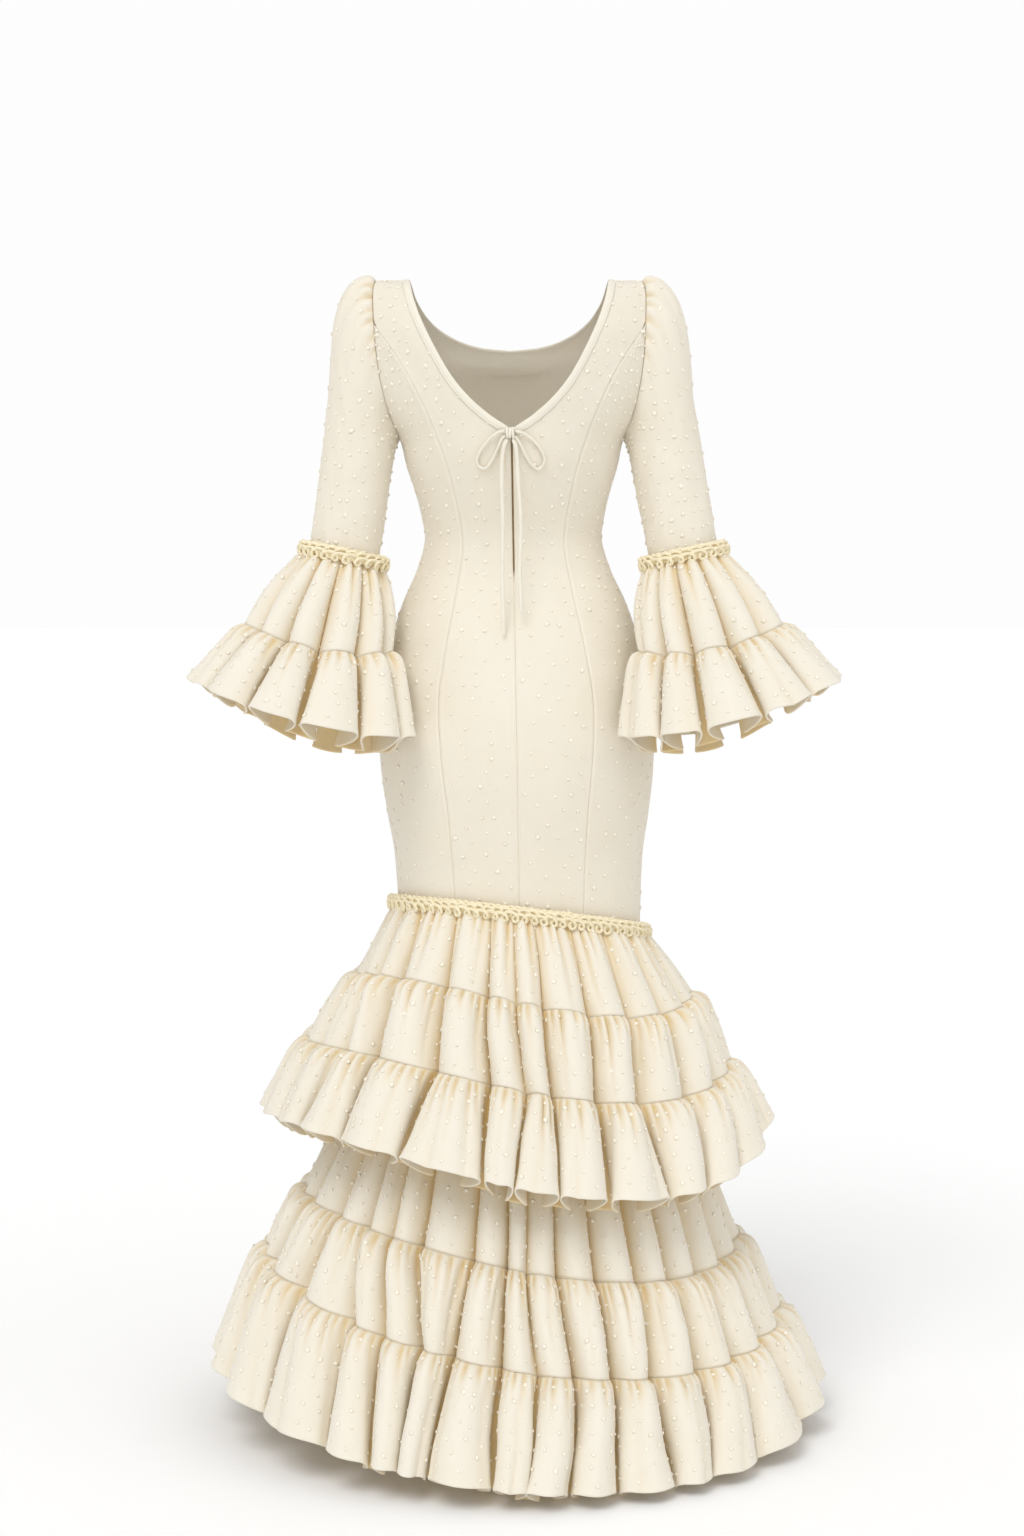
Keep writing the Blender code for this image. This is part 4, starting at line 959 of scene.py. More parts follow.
def off_the_hip(points):
    """Moves points of a sleeve flounce softly out, so that they stay clear of the hip."""
    z = points[..., 2]
    depth = np.where(points[..., 1] > 0, between(BODY, z, BACK), between(BODY, z, FRONT))
    half = between(BODY, z, HALF_WIDTH)
    x, y = points[..., 0], points[..., 1]
    reach = np.hypot(x / half, y / depth)
    distance = np.hypot(x, y) * (1 - 1 / reach)
    pushed = (distance + np.hypot(distance, 2 * HIP_CLEARANCE)) / 2
    slope = unit(np.stack([x / half**2, y / depth**2, np.zeros_like(x)], -1))
    return points + slope * (pushed - distance)[..., None]


def cuff_points(ring, angle, depth):
    out, back = np.sin(np.radians(angle)), np.cos(np.radians(angle))
    x = ring.out + (ring.half_width - depth) * out
    y = ring.back + (ring.half_depth - depth) * back
    z = ring.z + ring.rise * out - ring.droop * back * back + ring.lift * np.maximum(back, 0) ** 2
    return off_the_hip(np.stack([x, y, z + 0 * x], -1))


def arm_ring(centre, radius, angle):
    turn = np.radians(angle)
    out, back = np.cos(turn), np.sin(turn)
    return centre + np.stack([radius[0] * out, radius[1] * back, radius[2] * out], -1)


def placed(points, side):
    """Points drawn for an upright left arm, moved to their own side of the leaning body."""
    x = points[..., 0] * side.sign + LEAN * points[..., 2]
    return np.stack([x, points[..., 1], points[..., 2]], -1)


# ======================================================================================= operators


class DressOperator(bpy.types.Operator):
    """Common to the operators that make a piece."""

    bl_options = {"REGISTER", "UNDO"}


class DRESS_OT_tie(DressOperator):
    """The string tie at the bottom of the V: knot, two loops and two hanging ends"""

    bl_idname = "dress.tie"
    bl_label = "String tie"

    def execute(self, context):
        sizes = context.scene.dress_sizes
        knot_y = self.cloth_y(KNOT[0], KNOT[2]) + KNOT[1]
        wraps = []
        for k, (shift, lean) in enumerate(((-0.0038, 0.0004), (-0.0001, -0.0002), (0.0036, 0.0003))):
            turn = np.linspace(0, 2 * np.pi, 20, endpoint=False)
            path = np.stack([KNOT[0] + shift + lean * np.sin(turn), knot_y - 0.0010 + 0.0036 * np.cos(turn),
                             KNOT[2] + (0.0062 - 0.0004 * k) * np.sin(turn)], -1)
            centre = np.array((KNOT[0], knot_y - 0.0010, KNOT[2]))
            wraps.append(tube_mesh(f"wrap_{k}", path, 0.0020, 0.0015, path - centre, 10, closed=True))
        core = self.core((KNOT[0], knot_y - 0.0008, KNOT[2]), (0.0052, 0.0034, 0.0058))
        knot = add_piece("bow_knot_wraps", joined("bow_knot_wraps", wraps + [core]), "bias_cloth",
                         ("bow_knot",))
        for name, route in LOOPS.items():
            path = curve_through([(x, self.cloth_y(x, z) + y, z) for x, y, z in route], 0.0020)
            self.cord(name, path, 0.0021, 0.0015, "object", (0.0, 1.0, 0.0), knot)
        for name, route in TIES.items():
            path = curve_through(route, 0.0030)
            drop = np.linspace(0, 1, len(path))
            path[:, 0] += 0.0007 * np.sin(2 * np.pi * drop * 1.7) * np.sin(np.pi * drop)
            half = sizes.tie_width / 2
            self.cord(name, path, half, half * 0.66, "bare", (0.0, 1.0, 0.0), knot)
        return {"FINISHED"}

    @staticmethod
    def cloth_y(x, z):
        share = (x - LEAN * z) / between(BODY, z, HALF_WIDTH)
        return float(between(BODY, z, BACK) * math.sqrt(1 - share * share))

    @staticmethod
    def core(centre, radius):
        """A rounded lump inside the wraps."""
        turn = np.linspace(-0.499 * np.pi, 0.499 * np.pi, 9)
        path = np.stack([np.sin(turn), 0 * turn, 0 * turn], -1) * radius[0] + np.array(centre)
        size = np.cos(turn) + 0.02
        return tube_mesh("core", path, radius[2] * size, radius[1] * size, (0.0, 1.0, 0.0), 12)

    @staticmethod
    def cord(name, path, half_width, half_depth, far_end, outwards, knot):
        path = np.array(path)
        along = np.linspace(0, 1, len(path))
        swell = 1 + 0.05 * np.sin(37 * along) + 0.04 * np.sin(11 * along)
        mesh = tube_mesh(
            name, path, half_width * swell, half_depth / swell, np.array(outwards), 10, taper=0.55)
        piece = add_piece(name + "_cord", mesh, "bias_cloth", (name,))
        2 * half_width
        return piece


def curve_through(route, step):
    """Evenly stepped points on a smooth curve through a route's points."""
    route = np.array(route, float)
    ends = np.concatenate([[route[0] * 2 - route[1]], route, [route[-1] * 2 - route[-2]]])
    points = []
    for a, b, c, d in zip(ends, ends[1:], ends[2:], ends[3:]):
        count = max(2, round(float(np.linalg.norm(c - b)) / step))
        t = (np.arange(count) / count)[:, None]
        bend = (2 * a - 5 * b + 4 * c - d) * t**2 + (3 * b - a - 3 * c + d) * t**3
        points.append(0.5 * (2 * b + (c - a) * t + bend))
    return np.concatenate(points + [route[-1:]])


def body_axis(points):
    """The middle of the body at each point's height."""
    return np.stack([LEAN * points[..., 2], 0 * points[..., 2], points[..., 2]], -1)


def panel_shares(count=22):
    """Columns across a panel, close together at its seams."""
    edge = np.array((0.0, 0.010, 0.022, 0.038, 0.062, 0.095))
    middle = np.linspace(0.135, 0.865, count)
    return np.concatenate([edge, middle, 1 - edge[::-1]])


# Soft creases of the body: start, end, width, and depth outwards.
BACK_CREASES = (
    ((0.118, 0.06, -0.230), (0.045, 0.10, -0.255), 0.010, -0.0010),
    ((-0.122, 0.06, -0.230), (-0.052, 0.10, -0.262), 0.010, -0.0010),
    ((0.085, 0.05, -0.345), (0.020, 0.08, -0.352), 0.008, -0.0009),
    ((-0.092, 0.05, -0.338), (-0.035, 0.08, -0.350), 0.008, -0.0009),
    ((0.100, 0.06, -0.372), (0.035, 0.08, -0.366), 0.009, -0.0008),
    ((-0.105, 0.06, -0.368), (-0.030, 0.08, -0.372), 0.009, -0.0008),
    ((0.140, 0.06, -0.470), (0.070, 0.11, -0.505), 0.016, -0.0009),
    ((-0.150, 0.06, -0.480), (-0.080, 0.11, -0.510), 0.016, -0.0009),
    ((0.110, 0.09, -0.135), (0.075, 0.11, -0.190), 0.012, -0.0009),
    ((-0.112, 0.09, -0.140), (-0.082, 0.11, -0.195), 0.012, -0.0009),
    ((0.060, 0.12, -0.690), (-0.020, 0.12, -0.712), 0.018, -0.0008),
    ((-0.050, 0.12, -0.745), (-0.120, 0.08, -0.770), 0.018, -0.0010),
    ((0.030, 0.12, -0.780), (0.110, 0.08, -0.765), 0.016, -0.0008),
)


class DRESS_OT_body(DressOperator):
    """The fitted body: princess panels from the shoulders to the sloping hip seam"""

    bl_idname = "dress.body"
    bl_label = "Body panels"

    def execute(self, context):
        def slit(z):
            opening = np.clip((z - SLIT_BOTTOM) / SLIT_CLOSE, 0, 1) * SLIT_HALF_WIDTH
            closed = np.degrees(opening / between(BODY, z, HALF_WIDTH))
            return np.where(z > NECK_BACK, edge_angle(NECKLINE_BACK, z), closed)

        def back_seam(z):
            return np.where(z > PRINCESS_TOP, edge_angle(ARMHOLE, z), edge_angle(PRINCESS_BACK, z))

        def back_side(z):
            return np.where(z > ARMHOLE_BOTTOM, edge_angle(ARMHOLE, z), 90.0)

        def front_seam(z):
            low = edge_angle(PRINCESS_FRONT, z, True)
            return np.where(z > PRINCESS_TOP_FRONT, edge_angle(ARMHOLE, z, True), low)

        def front_side(z):
            return np.where(z > ARMHOLE_BOTTOM, edge_angle(ARMHOLE, z, True), 90.0)

        for sign, name in ((1, "left"), (-1, "right")):
            self.panel("back_" + name, slit, back_seam, 0.0, sign, 11 + sign, (0.16, 0.92), 0.095)
            self.panel("back_side_" + name, back_seam, back_side, PRINCESS_TOP, sign, 21 + sign,
                       (0.18, 0.81), 0.098)
            self.panel("front_side_" + name, front_seam, front_side, PRINCESS_TOP_FRONT, sign, 31 + sign,
                       (0.17, 0.78), 0.100)
        self.front(front_seam)
        return {"FINISHED"}

    def panel(self, name, left, right, top, sign, seed, flat, area):
        share = panel_shares()[None]
        first = station(top)
        angle = left(HIP_LOW) * (1 - share) + right(HIP_LOW) * share
        for _ in range(6):
            low = ring_height(HIP_SEAM, sign * angle)
            angle = left(low) * (1 - share) + right(low) * share
        last = station(ring_height(HIP_SEAM, sign * angle))
        down = np.linspace(0, 1, 72)[:, None] ** 0.97
        s = first + (last - first) * down
        z = height(s)
        start, end = left(z), right(z)
        angle = start * (1 - share) + end * share
        self.finish(name, body(sign * angle, s), share, seed, flat, area, BACK_CREASES)

    def finish(self, name, points, share, seed, flat, area, creases):
        axis = body_axis(points)
        normals = grid_normals(points, False, axis)
        points = creased(points, normals, creases)
        wide = np.linalg.norm(np.diff(points, axis=1), axis=-1).sum(axis=1)[:, None]
        near = np.minimum(share, 1 - share) * wide
        ridge = 0.0005 * np.exp(-(((near - 0.0032) / 0.0014) ** 2))
        groove = 0.0011 * np.exp(-((near / 0.0013) ** 2))
        run = lengths(points, 0)
        soft = 0.0007 * ripple(share * 3 + 0 * run[:, None], run[:, None] / 0.06 + 0 * share, seed)
        soft = soft * np.clip(near / 0.01, 0, 1)
        points = points + normals * (ridge - groove + soft)[..., None]
        add_cloth(name, points, False, seed, centre=axis)

    def front(self, seam):
        """The front panel fans out from the scoop and the shoulder seams, then runs level."""
        share = panel_shares(36)[None]
        neck = np.linspace(0, 1, 41)
        drop = NECK_FRONT * np.sin(neck * np.pi / 2) ** 1.3
        angles = np.concatenate([[edge_angle(ARMHOLE, 0.0, True)], edge_angle(NECKLINE_FRONT, drop, True)])
        drops = np.concatenate([[0.0], drop])
        angles, drops = both_sides(angles, drops)
        edge = body(angles, station(drops))
        run = run_along(edge)
        top_angle = np.interp(share[0] * run[-1], run, angles)
        top_s = station(np.interp(share[0] * run[-1], run, drops))
        low_s = station(SCOOP_BOTTOM)
        level = seam(SCOOP_BOTTOM) * (1 - share) + (360 - seam(SCOOP_BOTTOM)) * share
        t = np.linspace(0, 1, 16)[:-1, None]
        fan_s = top_s[None] * (1 - t) + low_s * t
        fan = top_angle[None] * (1 - t) + level * t
        side_s = low_s * t
        pull = seam(height(side_s)) - fan[:, :1]
        fade = np.clip(1 - share / 0.3, 0, 1) ** 2
        fan = fan + pull * fade - pull * fade[:, ::-1]
        angle = level[0]
        for _ in range(6):
            low = ring_height(HIP_SEAM, angle)
            angle = seam(low) * (1 - share[0]) + (360 - seam(low)) * share[0]
        last = station(ring_height(HIP_SEAM, angle))
        s = low_s + (last[None] - low_s) * np.linspace(0, 1, 62)[:, None]
        z = height(s)
        lower = seam(z) * (1 - share) + (360 - seam(z)) * share
        points = body(np.concatenate([fan, lower]), np.concatenate([fan_s, s]))
        self.finish("front_centre", points, share, 41, (0.36, 0.88), 0.215, ())


class DRESS_OT_binding(DressOperator):
    """The narrow bias binding of the neck, with its edge stitching"""

    bl_idname = "dress.binding"
    bl_label = "Neck binding"

    def execute(self, context):
        down = np.linspace(0, 1, 90)
        back = NECK_BACK * (1 - down) ** 0.8
        front = NECK_FRONT * np.sin(np.linspace(0, np.pi / 2, 50)) ** 1.3
        angles = np.concatenate(
            [edge_angle(NECKLINE_BACK, back), edge_angle(NECKLINE_FRONT, front[1:], True)])
        drops = np.concatenate([back, front[1:]])
        angles, drops = both_sides(angles, drops)
        s = station(drops)
        edge = body(angles, s)
        outward = edge - body_axis(edge) + np.array((0.0, 0.0, 0.02))
        normal = body_normal(angles, s, 0.02, 0.0003, outward)
        for _ in range(4):
            normal = unit(normal + np.roll(normal, 1, axis=0) + np.roll(normal, -1, axis=0))
        run = run_along(edge)
        even = np.linspace(0, run[-1], 420)
        edge = on_line(even, run, edge)
        normal = unit(on_line(even, run, normal))
        along = unit(np.gradient(edge, axis=0))
        inwards = unit(np.cross(normal, along))
        quarter = len(edge) // 4
        if np.dot(inwards[quarter], edge[quarter]) < 0:
            inwards = -inwards
        profile = ((0.0, 0.0004), (-0.0004, 0.0013), (0.0006, 0.0021), (0.0026, 0.0023), (0.0050, 0.0022),
                   (0.0064, 0.0020), (0.0070, 0.0015), (0.0077, 0.0019), (0.0086, 0.0017), (0.0091, 0.0009))
        uneven = 0.00025 * wander(even / 0.012, 61)[:, None]
        rows = [edge + inwards * out + normal * (up + uneven * (0 < k < 9))
                for k, (out, up) in enumerate(profile)]
        points = np.array(rows)
        normals = grid_normals(points, False, (edge - normal * 0.02)[None])
        mesh = shell_mesh("neck_binding_strip", points, normals, BINDING_HALF, False)
        strip = add_piece("neck_binding_strip", mesh, "bias_cloth", ("neck_binding",))
        stitches = []
        for way in np.arange(STITCH_START, run[-1] - STITCH_START, STITCH_PITCH):
            ends = [way - 0.0011, way - 0.0005, way + 0.0005, way + 0.0011]
            path = np.array([on_line(end, even, edge + inwards * STITCH_INSET + normal * lift)
                             for end, lift in zip(ends, (0.0016, 0.0021, 0.0021, 0.0016))])
            up = on_line(way, even, normal)
            stitches.append(tube_mesh("stitch", path, 0.00030, 0.00028, up, 5))
        thread = add_piece("neck_stitches", joined("neck_stitches", stitches), "crepe_dots")
        return {"FINISHED"}


class DRESS_OT_zip(DressOperator):
    """The closed coil zip in the centre-back opening"""

    bl_idname = "dress.zip"
    bl_label = "Zip"

    def execute(self, context):
        z = np.linspace(NECK_BACK - 0.006, SLIT_BOTTOM - 0.010, 60)
        s = station(z)
        half = np.degrees(ZIP_HALF_WIDTH / between(BODY, z, HALF_WIDTH))
        points = np.array([body(half * share, s) for share in (-1.0, -0.5, 0.0, 0.5, 1.0)]).transpose(1, 0, 2)
        normals = grid_normals(points, False, body_axis(points))
        points = points - normals * ZIP_DEPTH
        mesh = shell_mesh("zip_tape", points, normals, 0.0004, False)
        add_piece("zip_tape", mesh, "zip_tape", ("zip",))
        line, out = points[:, 2], normals[:, 2]
        run = run_along(line)
        teeth = []
        for k, way in enumerate(np.arange(0.001, run[-1] - 0.001, TOOTH_PITCH)):
            centre = on_line(way, run, line)
            up = unit(on_line(way, run, out))
            shift = 0.00035 if k % 2 else -0.00035
            middle = centre + up * 0.0009 + np.array((shift, 0.0, 0.0))
            path = middle + np.array([(dx, 0.0, 0.0) for dx in (-0.0012, -0.0007, 0.0007, 0.0012)])
            path = path + up * np.array((-0.0004, 0.0, 0.0, -0.0004))[:, None]
            teeth.append(tube_mesh("tooth", path, 0.00036, 0.00042, up, 6))
        add_piece("zip_coil", joined("zip_coil", teeth), "zip_coil")
        return {"FINISHED"}


def armhole(angle):
    """Points of the left armhole at angles round the arm, and the cloth's normals there."""
    z = ARMHOLE_BOTTOM * (1 - np.cos(np.radians(angle))) / 2
    front = np.sin(np.radians(angle)) < -1e-6
    at = np.where(front, edge_angle(ARMHOLE, z, True), edge_angle(ARMHOLE, z))
    s = station(z)
    outward = np.stack([np.sin(np.radians(at)), np.cos(np.radians(at)), 0.1 + 0 * at], -1)
    normal = body_normal(at, s, 0.05, 0.0002, outward)
    seam = body(at, s)
    seam[..., 0] -= LEAN * z
    return seam, normal


# Soft creases of a sleeve, drawn for the left arm: from the head down, then across the elbow.
SLEEVE_CREASES = (
    ((0.185, 0.045, -0.012), (0.218, 0.055, -0.120), 0.0065, -0.0030),
    ((0.182, 0.068, -0.035), (0.205, 0.066, -0.150), 0.0060, -0.0026),
    ((0.177, 0.090, -0.070), (0.190, 0.072, -0.185), 0.0060, -0.0022),
    ((0.195, 0.030, -0.004), (0.230, 0.030, -0.085), 0.0060, -0.0022),
    ((0.200, 0.058, -0.060), (0.216, 0.058, -0.150), 0.0090, 0.0018),
    ((0.182, 0.070, -0.200), (0.225, 0.062, -0.235), 0.0110, -0.0016),
    ((0.185, 0.075, -0.262), (0.240, 0.055, -0.285), 0.0120, -0.0017),
    ((0.190, 0.075, -0.300), (0.245, 0.060, -0.292), 0.0090, -0.0014),
    ((0.235, 0.062, -0.245), (0.250, 0.050, -0.320), 0.0100, -0.0014),
    ((0.200, 0.078, -0.330), (0.232, 0.076, -0.352), 0.0080, -0.0013),
    ((0.185, -0.045, -0.020), (0.200, -0.045, -0.120), 0.0070, -0.0024),
    ((0.180, -0.070, -0.060), (0.186, -0.050, -0.160), 0.0070, -0.0020),
    ((0.190, -0.020, -0.260), (0.245, -0.010, -0.290), 0.0110, -0.0018),
    ((0.195, -0.015, -0.300), (0.240, -0.012, -0.322), 0.0090, -0.0014),
)


class DRESS_OT_sleeves(DressOperator):
    """The long sleeves, gathered into the armholes"""

    bl_idname = "dress.sleeves"
    bl_label = "Sleeves"

    def execute(self, context):
        for side in SIDES:
            angle = np.arange(SLEEVE_COLUMNS) * 360 / SLEEVE_COLUMNS
            seam, normal = armhole(angle)
            under = np.sin(np.radians(angle / 2)) ** 6
            start = seam + np.array((0.7, 0.0, 0.7)) * ARMHOLE_GAP + normal * (UNDERARM_LIFT * under)[:, None]
            bicep = arm_ring(BICEP, BICEP_RADIUS, angle)
            outer = np.cos(np.radians(angle / 2)) ** 2
            bend = np.stack([start[:, 0] + (bicep[:, 0] - start[:, 0]) * (0.5 + 0.5 * outer),
                             (start[:, 1] + bicep[:, 1]) / 2,
                             start[:, 2] + (bicep[:, 2] - start[:, 2]) * (0.5 - 0.58 * outer)], -1)
            t = (np.linspace(0, 1, 31)[:-1] ** 1.25)[:, None, None]
            cap = start * (1 - t) ** 2 + bend * 2 * t * (1 - t) + bicep * t * t
            end = arm_ring(CUFF, CUFF_RADIUS, angle)
            t = np.linspace(0, 1, 27)[:, None, None]
            points = np.concatenate([cap, bicep * (1 - t) + end * t])
            points = smooth_down(points, 10)
            normals = grid_normals(points, True)
            run = np.linalg.norm(np.diff(points, axis=0), axis=-1)
            run = np.concatenate([np.zeros((1, SLEEVE_COLUMNS)), np.cumsum(run, axis=0)])
            q = run_along(seam) / HEAD_GATHER
            bent = q + 0.30 * wander(q, 71 + side.sign)
            which = np.floor(bent + 0.5).astype(int) % 50
            lots = np.random.default_rng(73 + side.sign).uniform(0, 1, (2, 50))
            head = np.clip(np.cos(np.radians(np.minimum(angle, 360 - angle) * 0.95)), 0, 1) ** 0.6
            reach = 0.011 + 0.016 * lots[0][which] ** 1.3
            tuck = 1 - np.abs(np.sin(np.pi * bent))[None] ** (0.45 + 0.75 * np.exp(-run / 0.008))
            held = tuck * ((0.60 + 0.40 * lots[1][which]) * head)[None] * np.exp(-((run / reach) ** 1.4))
            gather = -0.0125 * held * (0.2 + 0.8 * np.clip(run / 0.005, 0, 1))
            puff = 0.0095 * head * (1 - np.exp(-run / 0.004)) * np.exp(-run / 0.035)
            around = np.arange(SLEEVE_COLUMNS)[None] * 12 / SLEEVE_COLUMNS + 0 * run
            rumple = 0.0009 * ripple(around, run / 0.030, 75 + side.sign, 12)
            rumple = rumple * np.clip(run / 0.02, 0, 1) * np.clip((run[-1:] - run) / 0.01, 0, 1)
            points = points + normals * (gather + puff + rumple)[..., None]
            points = creased(points, normals, SLEEVE_CREASES)
            # painted shade in the tucks of the gathered sleeve head
            add_cloth("sleeve_" + side.name, placed(points, side), True, 81 + side.sign,
                      PANEL_TONE + 0.9 * held)
        return {"FINISHED"}


class DRESS_OT_sleeve_flounces(DressOperator):
    """The two gathered flounces of each sleeve"""

    bl_idname = "dress.sleeve_flounces"
    bl_label = "Sleeve flounces"

    def execute(self, context):
        for side in SIDES:
            valleys = np.array(side.folds, float)
            depths = np.ones(len(valleys))
            upper = Flounce(
                top=lambda angle, depth: arm_ring(CUFF, CUFF_RADIUS, 90 - angle) - np.array((0, 0, SEAM)),
                bottom=lambda angle, depth: cuff_points(CUFF_SEAM, angle, depth),
                top_fold=0.0, bottom_fold=CUFF_SEAM.fold, top_valleys=valleys, bottom_valleys=valleys,
                depths=depths, top_drop=0.0, bottom_drop=SEAM_DROOP, hem=False, tall=0.105, reach=1.8,
                bulge=0.009, shade=0.0)
            lower = Flounce(
                top=lambda angle, depth: cuff_points(CUFF_SEAM, angle, depth),
                bottom=lambda angle, depth: cuff_points(CUFF_HEM, angle, depth),
                top_fold=CUFF_SEAM.fold, bottom_fold=CUFF_HEM.fold, top_valleys=valleys,
                bottom_valleys=valleys, depths=depths, top_drop=SEAM_DROOP, bottom_drop=SLEEVE_HEM_DROP,
                hem=True, tall=0.092, reach=1.0, bulge=0.0, shade=0.0)
            for name, flounce, columns, strength, flat in (
                    ("upper", upper, 14, 0.70, (0.90, 0.11)), ("lower", lower, 8, 0.85, (1.75, 0.10))):
                grid, painted_shade = flounce_grid(flounce, columns, 101 + 7 * side.sign + columns, strength)
                node = f"sleeve_flounce_{name}_{side.name}"
                add_cloth(node, placed(grid, side), True, 111 + columns + side.sign, painted_shade,
                          hem=name == "lower")
        return {"FINISHED"}


class DRESS_OT_upper_flounces(DressOperator):
    """The upper group of three gathered flounces, from the hip seam"""

    bl_idname = "dress.upper_flounces"
    bl_label = "Upper flounces"

    def execute(self, context):
        tiers = (
            ("upper_flounce_1", HIP_SEAM, UPPER_1, TOP, TOP, 10, 0.75, (1.85, 0.105)),
            ("upper_flounce_2", UPPER_1, UPPER_2, TOP, MIDDLE, 7, 1.0, (2.90, 0.110)),
            ("upper_flounce_3", UPPER_2, UPPER_HEM, MIDDLE, HEM, 6, 1.0, (4.30, 0.125)),
        )
        make_tiers(tiers, UPPER_FOLDS, 200, UPPER_HEM_DROP)
        return {"FINISHED"}


class DRESS_OT_lower_flounces(DressOperator):
    """The lower group of three gathered flounces, on a plain skirt under the upper group"""

    bl_idname = "dress.lower_flounces"
    bl_label = "Lower flounces"

    def execute(self, context):
        angle = np.arange(120) * 3.0 - 180
        top = ring_points(HIP_SEAM, angle)
        turn = np.radians(angle)
        inwards = np.stack([-np.sin(turn), -np.cos(turn), -np.ones_like(turn)], -1)
        top = top + inwards * BASE_INSET
        bottom = ring_points(LOWER_TOP, angle) + np.array((0.0, 0.0, SEAM))
        t = np.linspace(0, 1, 16)[:, None, None]
        points = top * (1 - t) + bottom * t
        soft = 0.0012 * ripple(np.arange(120)[None] / 5.0 + 0 * t[..., 0], t[..., 0] * 5 + 0 * angle, 301, 24)
        points = points + grid_normals(points, True) * (soft * np.sin(np.pi * t[..., 0]))[..., None]
        add_cloth("base_skirt", points, True, 302, dotted=False)
        tiers = (
            ("lower_flounce_1", LOWER_TOP, LOWER_1, TOP, TOP, 7, 0.8, (2.80, 0.155)),
            ("lower_flounce_2", LOWER_1, LOWER_2, TOP, MIDDLE, 6, 1.0, (4.40, 0.105)),
            ("lower_flounce_3", LOWER_2, LOWER_HEM, MIDDLE, HEM, 5, 1.0, (5.95, 0.140)),
        )
        make_tiers(tiers, LOWER_FOLDS, 400, HEM_DROP)
        return {"FINISHED"}


def make_tiers(tiers, folds, seed, hem_drop):
    for number, (name, top, bottom, top_column, bottom_column, columns, strength, flat) in enumerate(tiers):
        flounce = skirt_flounce(top, bottom, folds, top_column, bottom_column, hem_drop)
        points, painted_shade = flounce_grid(flounce, columns, seed + 20 * number, strength)
        add_cloth(name, points, True, seed + 20 * number + 15, painted_shade, hem=flounce.hem)


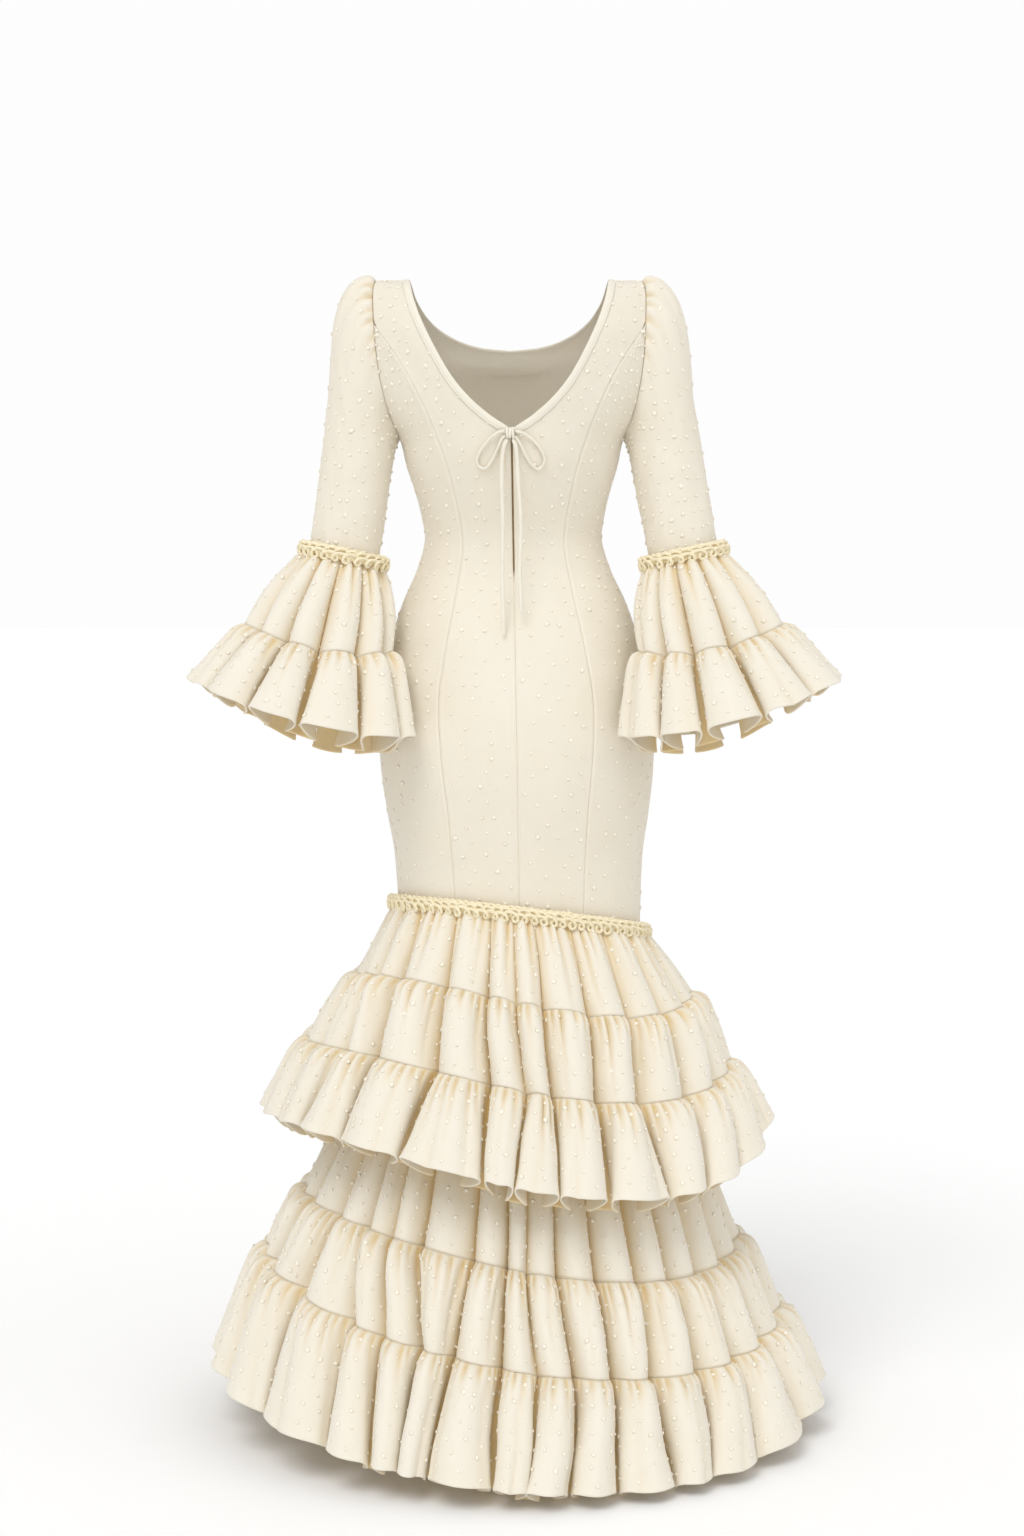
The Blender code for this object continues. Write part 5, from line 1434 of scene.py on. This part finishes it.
class DRESS_OT_trims(DressOperator):
    """The curled lace strips on the hip seam and on the sleeve flounces' seams"""

    bl_idname = "dress.trims"
    bl_label = "Lace trims"

    def execute(self, context):
        angle = np.linspace(0, 360, 1441)[:-1]
        path = ring_points(HIP_SEAM, angle)
        self.lace("hip_trim", path, np.array((0.0, 0.0, 1.0)), 0.0135, 0.0080, 0.0020, 501)
        angle = np.linspace(0, 360, 481)[:-1]
        for side in SIDES:
            path = placed(arm_ring(CUFF, CUFF_RADIUS, angle), side)
            up = unit(BICEP - CUFF) * np.array((side.sign, 1, 1))
            self.lace("sleeve_trim_" + side.name, path, up, 0.0120, 0.0076, 0.0022, 511 + side.sign)
        return {"FINISHED"}

    def lace(self, node, path, up, reach, half_tall, middle, seed):
        """A ruched strip of lace that winds up and down, with corded loops curling over it."""
        pitch = bpy.context.scene.dress_sizes.lace_pitch
        ring = np.vstack([path, path[:1]])
        run = run_along(ring)
        along = unit(np.roll(path, -1, axis=0) - np.roll(path, 1, axis=0))
        out = facing(unit(np.cross(along, up)), path - path.mean(axis=0))
        out = np.vstack([out, out[:1]])

        def at(way, outwards, high):
            """Points at distances along, out from and up from the seam."""
            place = [on_line(way % run[-1], run, line) for line in (ring, out)]
            outwards, high = np.asarray(outwards)[..., None], np.asarray(high)[..., None]
            return place[0] + unit(place[1]) * outwards + up * high

        loops = round(run[-1] / pitch)
        w = np.arange(loops * LACE_STEPS) / LACE_STEPS
        turn = 2 * np.pi * w
        wide = 0.125 + 0.030 * wander(w, seed + 1, loops)
        rows = []
        for share in (0.0, 0.25, 0.5, 0.75, 1.0):
            spread = 0.4 + 0.6 * share**0.7
            way = (w + wide * spread * np.sin(2 * turn)) / loops * run[-1]
            rows.append(at(way, 0.0026 + (reach - 0.0026) * share + 0 * w,
                           middle + half_tall * spread * np.cos(turn)))
        points = np.array(rows)
        normals = grid_normals(points, True, points.mean(axis=(0, 1), keepdims=True))
        ribs = 0.00022 * np.sin(2 * np.pi * w * 5)[None, :, None]
        # painted shade on the strip, darkest at the seam behind the loops
        depth = np.array((0.9, 0.8, 0.6, 0.4, 0.15))[:, None]
        mesh = shell_mesh(node + "_lace", points + normals * ribs, normals, 0.00045, True, depth)
        strip = add_piece(node + "_lace", mesh, "curled_lace", (node,))
        cords = []
        chains = ((0.86, 0.0058, -0.0038, reach + 0.0008, 0.0023, 0.0),
                  (0.80, 0.0044, 0.0030, reach - 0.0004, 0.0021, 0.4),
                  (0.60, 0.0028, 0.0066, reach - 0.0036, 0.0017, 0.7))
        for number, (share, size, high, far, thick, phase) in enumerate(chains):
            count = round(run[-1] / (pitch * share))
            w = np.arange(count * LACE_STEPS) / LACE_STEPS
            turn = 2 * np.pi * (w + phase)
            bumpy = 1 + 0.22 * wander(w, seed + 11 + number, count)
            tilt = 0.0012 * wander(w * 0.9, seed + 21 + number) * np.sin(np.pi * w / count) ** 0.3
            way = w / count * run[-1] + size * bumpy * np.sin(turn)
            outwards = far + 0.0017 * np.cos(turn + 0.9) + tilt
            chain = at(way, outwards, middle + high + size * bumpy * np.cos(turn))
            lean = at(way, far + 0.01, middle + high) - at(way, far, middle + high)
            twist = thick * (1 + 0.13 * np.sin(2 * np.pi * w * 5.0))
            cords.append(tube_mesh("chain", chain, twist, twist, lean, 5, closed=True))
        way = np.arange(count) / count * run[-1]
        tape = at(way, 0.62 * reach + 0 * way, middle + 0 * way)
        outwards = at(way, reach + 0 * way, middle + 0 * way) - tape
        cords.append(tube_mesh("tape", tape, 0.85 * half_tall, 0.30 * reach, outwards, 8, closed=True))
        cord = add_piece(node + "_loops", joined(node + "_loops", cords), "curled_lace")


class DRESS_OT_stage(DressOperator):
    """Camera, pale floor and soft studio light"""

    bl_idname = "dress.stage"
    bl_label = "Studio"

    def execute(self, context):
        scene = context.scene
        studio = scene.dress_studio
        camera_data = bpy.data.cameras.new("camera")
        camera_data.lens = studio.lens
        camera_data.sensor_width = 36.0
        camera_data.clip_end = 100.0
        camera = bpy.data.objects.new("camera", camera_data)
        camera.location = (CAMERA_X, studio.distance, studio.height)
        camera.rotation_euler = (math.pi / 2 - studio.tilt, 0.0, math.pi)
        scene.collection.objects.link(camera)
        scene.camera = camera

        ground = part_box("lower_flounce_3")[0].z - FLOOR_GAP
        size = FLOOR_HALF_WIDTH
        corners = [(-size, -size, ground), (size, -size, ground), (size, size, ground), (-size, size, ground)]
        mesh = new_mesh("studio_floor", corners, [(0, 1, 2, 3)])
        mesh.materials.append(material("studio_floor"))
        floor = bpy.data.objects.new("studio_floor", mesh)
        scene.collection.objects.link(floor)

        self.sun(scene, "key", (0.36, 0.9, 1.22), 32.0, studio.key)
        self.sun(scene, "fill", (-0.9, 0.8, 0.9), 60.0, studio.fill)
        world = bpy.data.worlds.new("studio")
        world.use_nodes = True
        nodes, links = world.node_tree.nodes, world.node_tree.links
        sky = nodes["Background"]
        sky.inputs["Color"].default_value = (1.0, 1.0, 1.0, 1.0)
        sky.inputs["Strength"].default_value = studio.surround
        seen = nodes.new("ShaderNodeBackground")
        seen.inputs["Color"].default_value = (1.0, 1.0, 1.0, 1.0)
        seen.inputs["Strength"].default_value = studio.backdrop
        choose = nodes.new("ShaderNodeMixShader")
        links.new(nodes.new("ShaderNodeLightPath").outputs["Is Camera Ray"], choose.inputs[0])
        links.new(sky.outputs[0], choose.inputs[1])
        links.new(seen.outputs[0], choose.inputs[2])
        links.new(choose.outputs[0], nodes["World Output"].inputs["Surface"])
        scene.world = world
        scene.view_settings.view_transform = "Standard"
        return {"FINISHED"}

    @staticmethod
    def sun(scene, name, towards, softness, strength):
        """A soft distant light that shines from a direction."""
        data = bpy.data.lights.new(name, "SUN")
        data.angle = math.radians(softness)
        data.energy = strength
        light = bpy.data.objects.new(name, data)
        x, y, z = towards
        light.rotation_euler = (math.pi / 2 - math.atan2(z, math.hypot(x, y)), 0.0, math.atan2(x, -y))
        light.location = (3 * x, 3 * y, 3 * z)
        scene.collection.objects.link(light)


class DRESS_PT_pieces(bpy.types.Panel):
    """Lists the pieces of the dress"""

    bl_idname = "DRESS_PT_pieces"
    bl_label = "Flamenco dress"
    bl_space_type = "VIEW_3D"
    bl_region_type = "UI"
    bl_category = "Dress"

    def draw(self, context):
        for operator in OPERATORS:
            self.layout.operator(operator.bl_idname)
        for group in ("dress_sizes", "dress_colours", "dress_studio"):
            settings = getattr(context.scene, group)
            box = self.layout.box()
            for label in settings.bl_rna.properties.keys():
                if label not in ("rna_type", "name"):
                    box.prop(settings, label)


OPERATORS = (
    DRESS_OT_stage,
    DRESS_OT_tie,
    DRESS_OT_binding,
    DRESS_OT_zip,
    DRESS_OT_body,
    DRESS_OT_sleeves,
    DRESS_OT_sleeve_flounces,
    DRESS_OT_upper_flounces,
    DRESS_OT_lower_flounces,
    DRESS_OT_trims,
)
GROUPS = (("dress_sizes", DressSizes), ("dress_colours", DressColours), ("dress_studio", StudioSettings))


def register():
    for label, group in GROUPS:
        bpy.utils.register_class(group)
        setattr(bpy.types.Scene, label, PointerProperty(type=group))
    for operator in OPERATORS:
        bpy.utils.register_class(operator)
    bpy.utils.register_class(DRESS_PT_pieces)


def unregister():
    bpy.utils.unregister_class(DRESS_PT_pieces)
    for operator in reversed(OPERATORS):
        bpy.utils.unregister_class(operator)
    for label, group in reversed(GROUPS):
        delattr(bpy.types.Scene, label)
        bpy.utils.unregister_class(group)


def main():
    register()
    for operator in OPERATORS:
        group, name = operator.bl_idname.split(".")
        getattr(getattr(bpy.ops, group), name)()


if __name__ == "__main__":
    main()
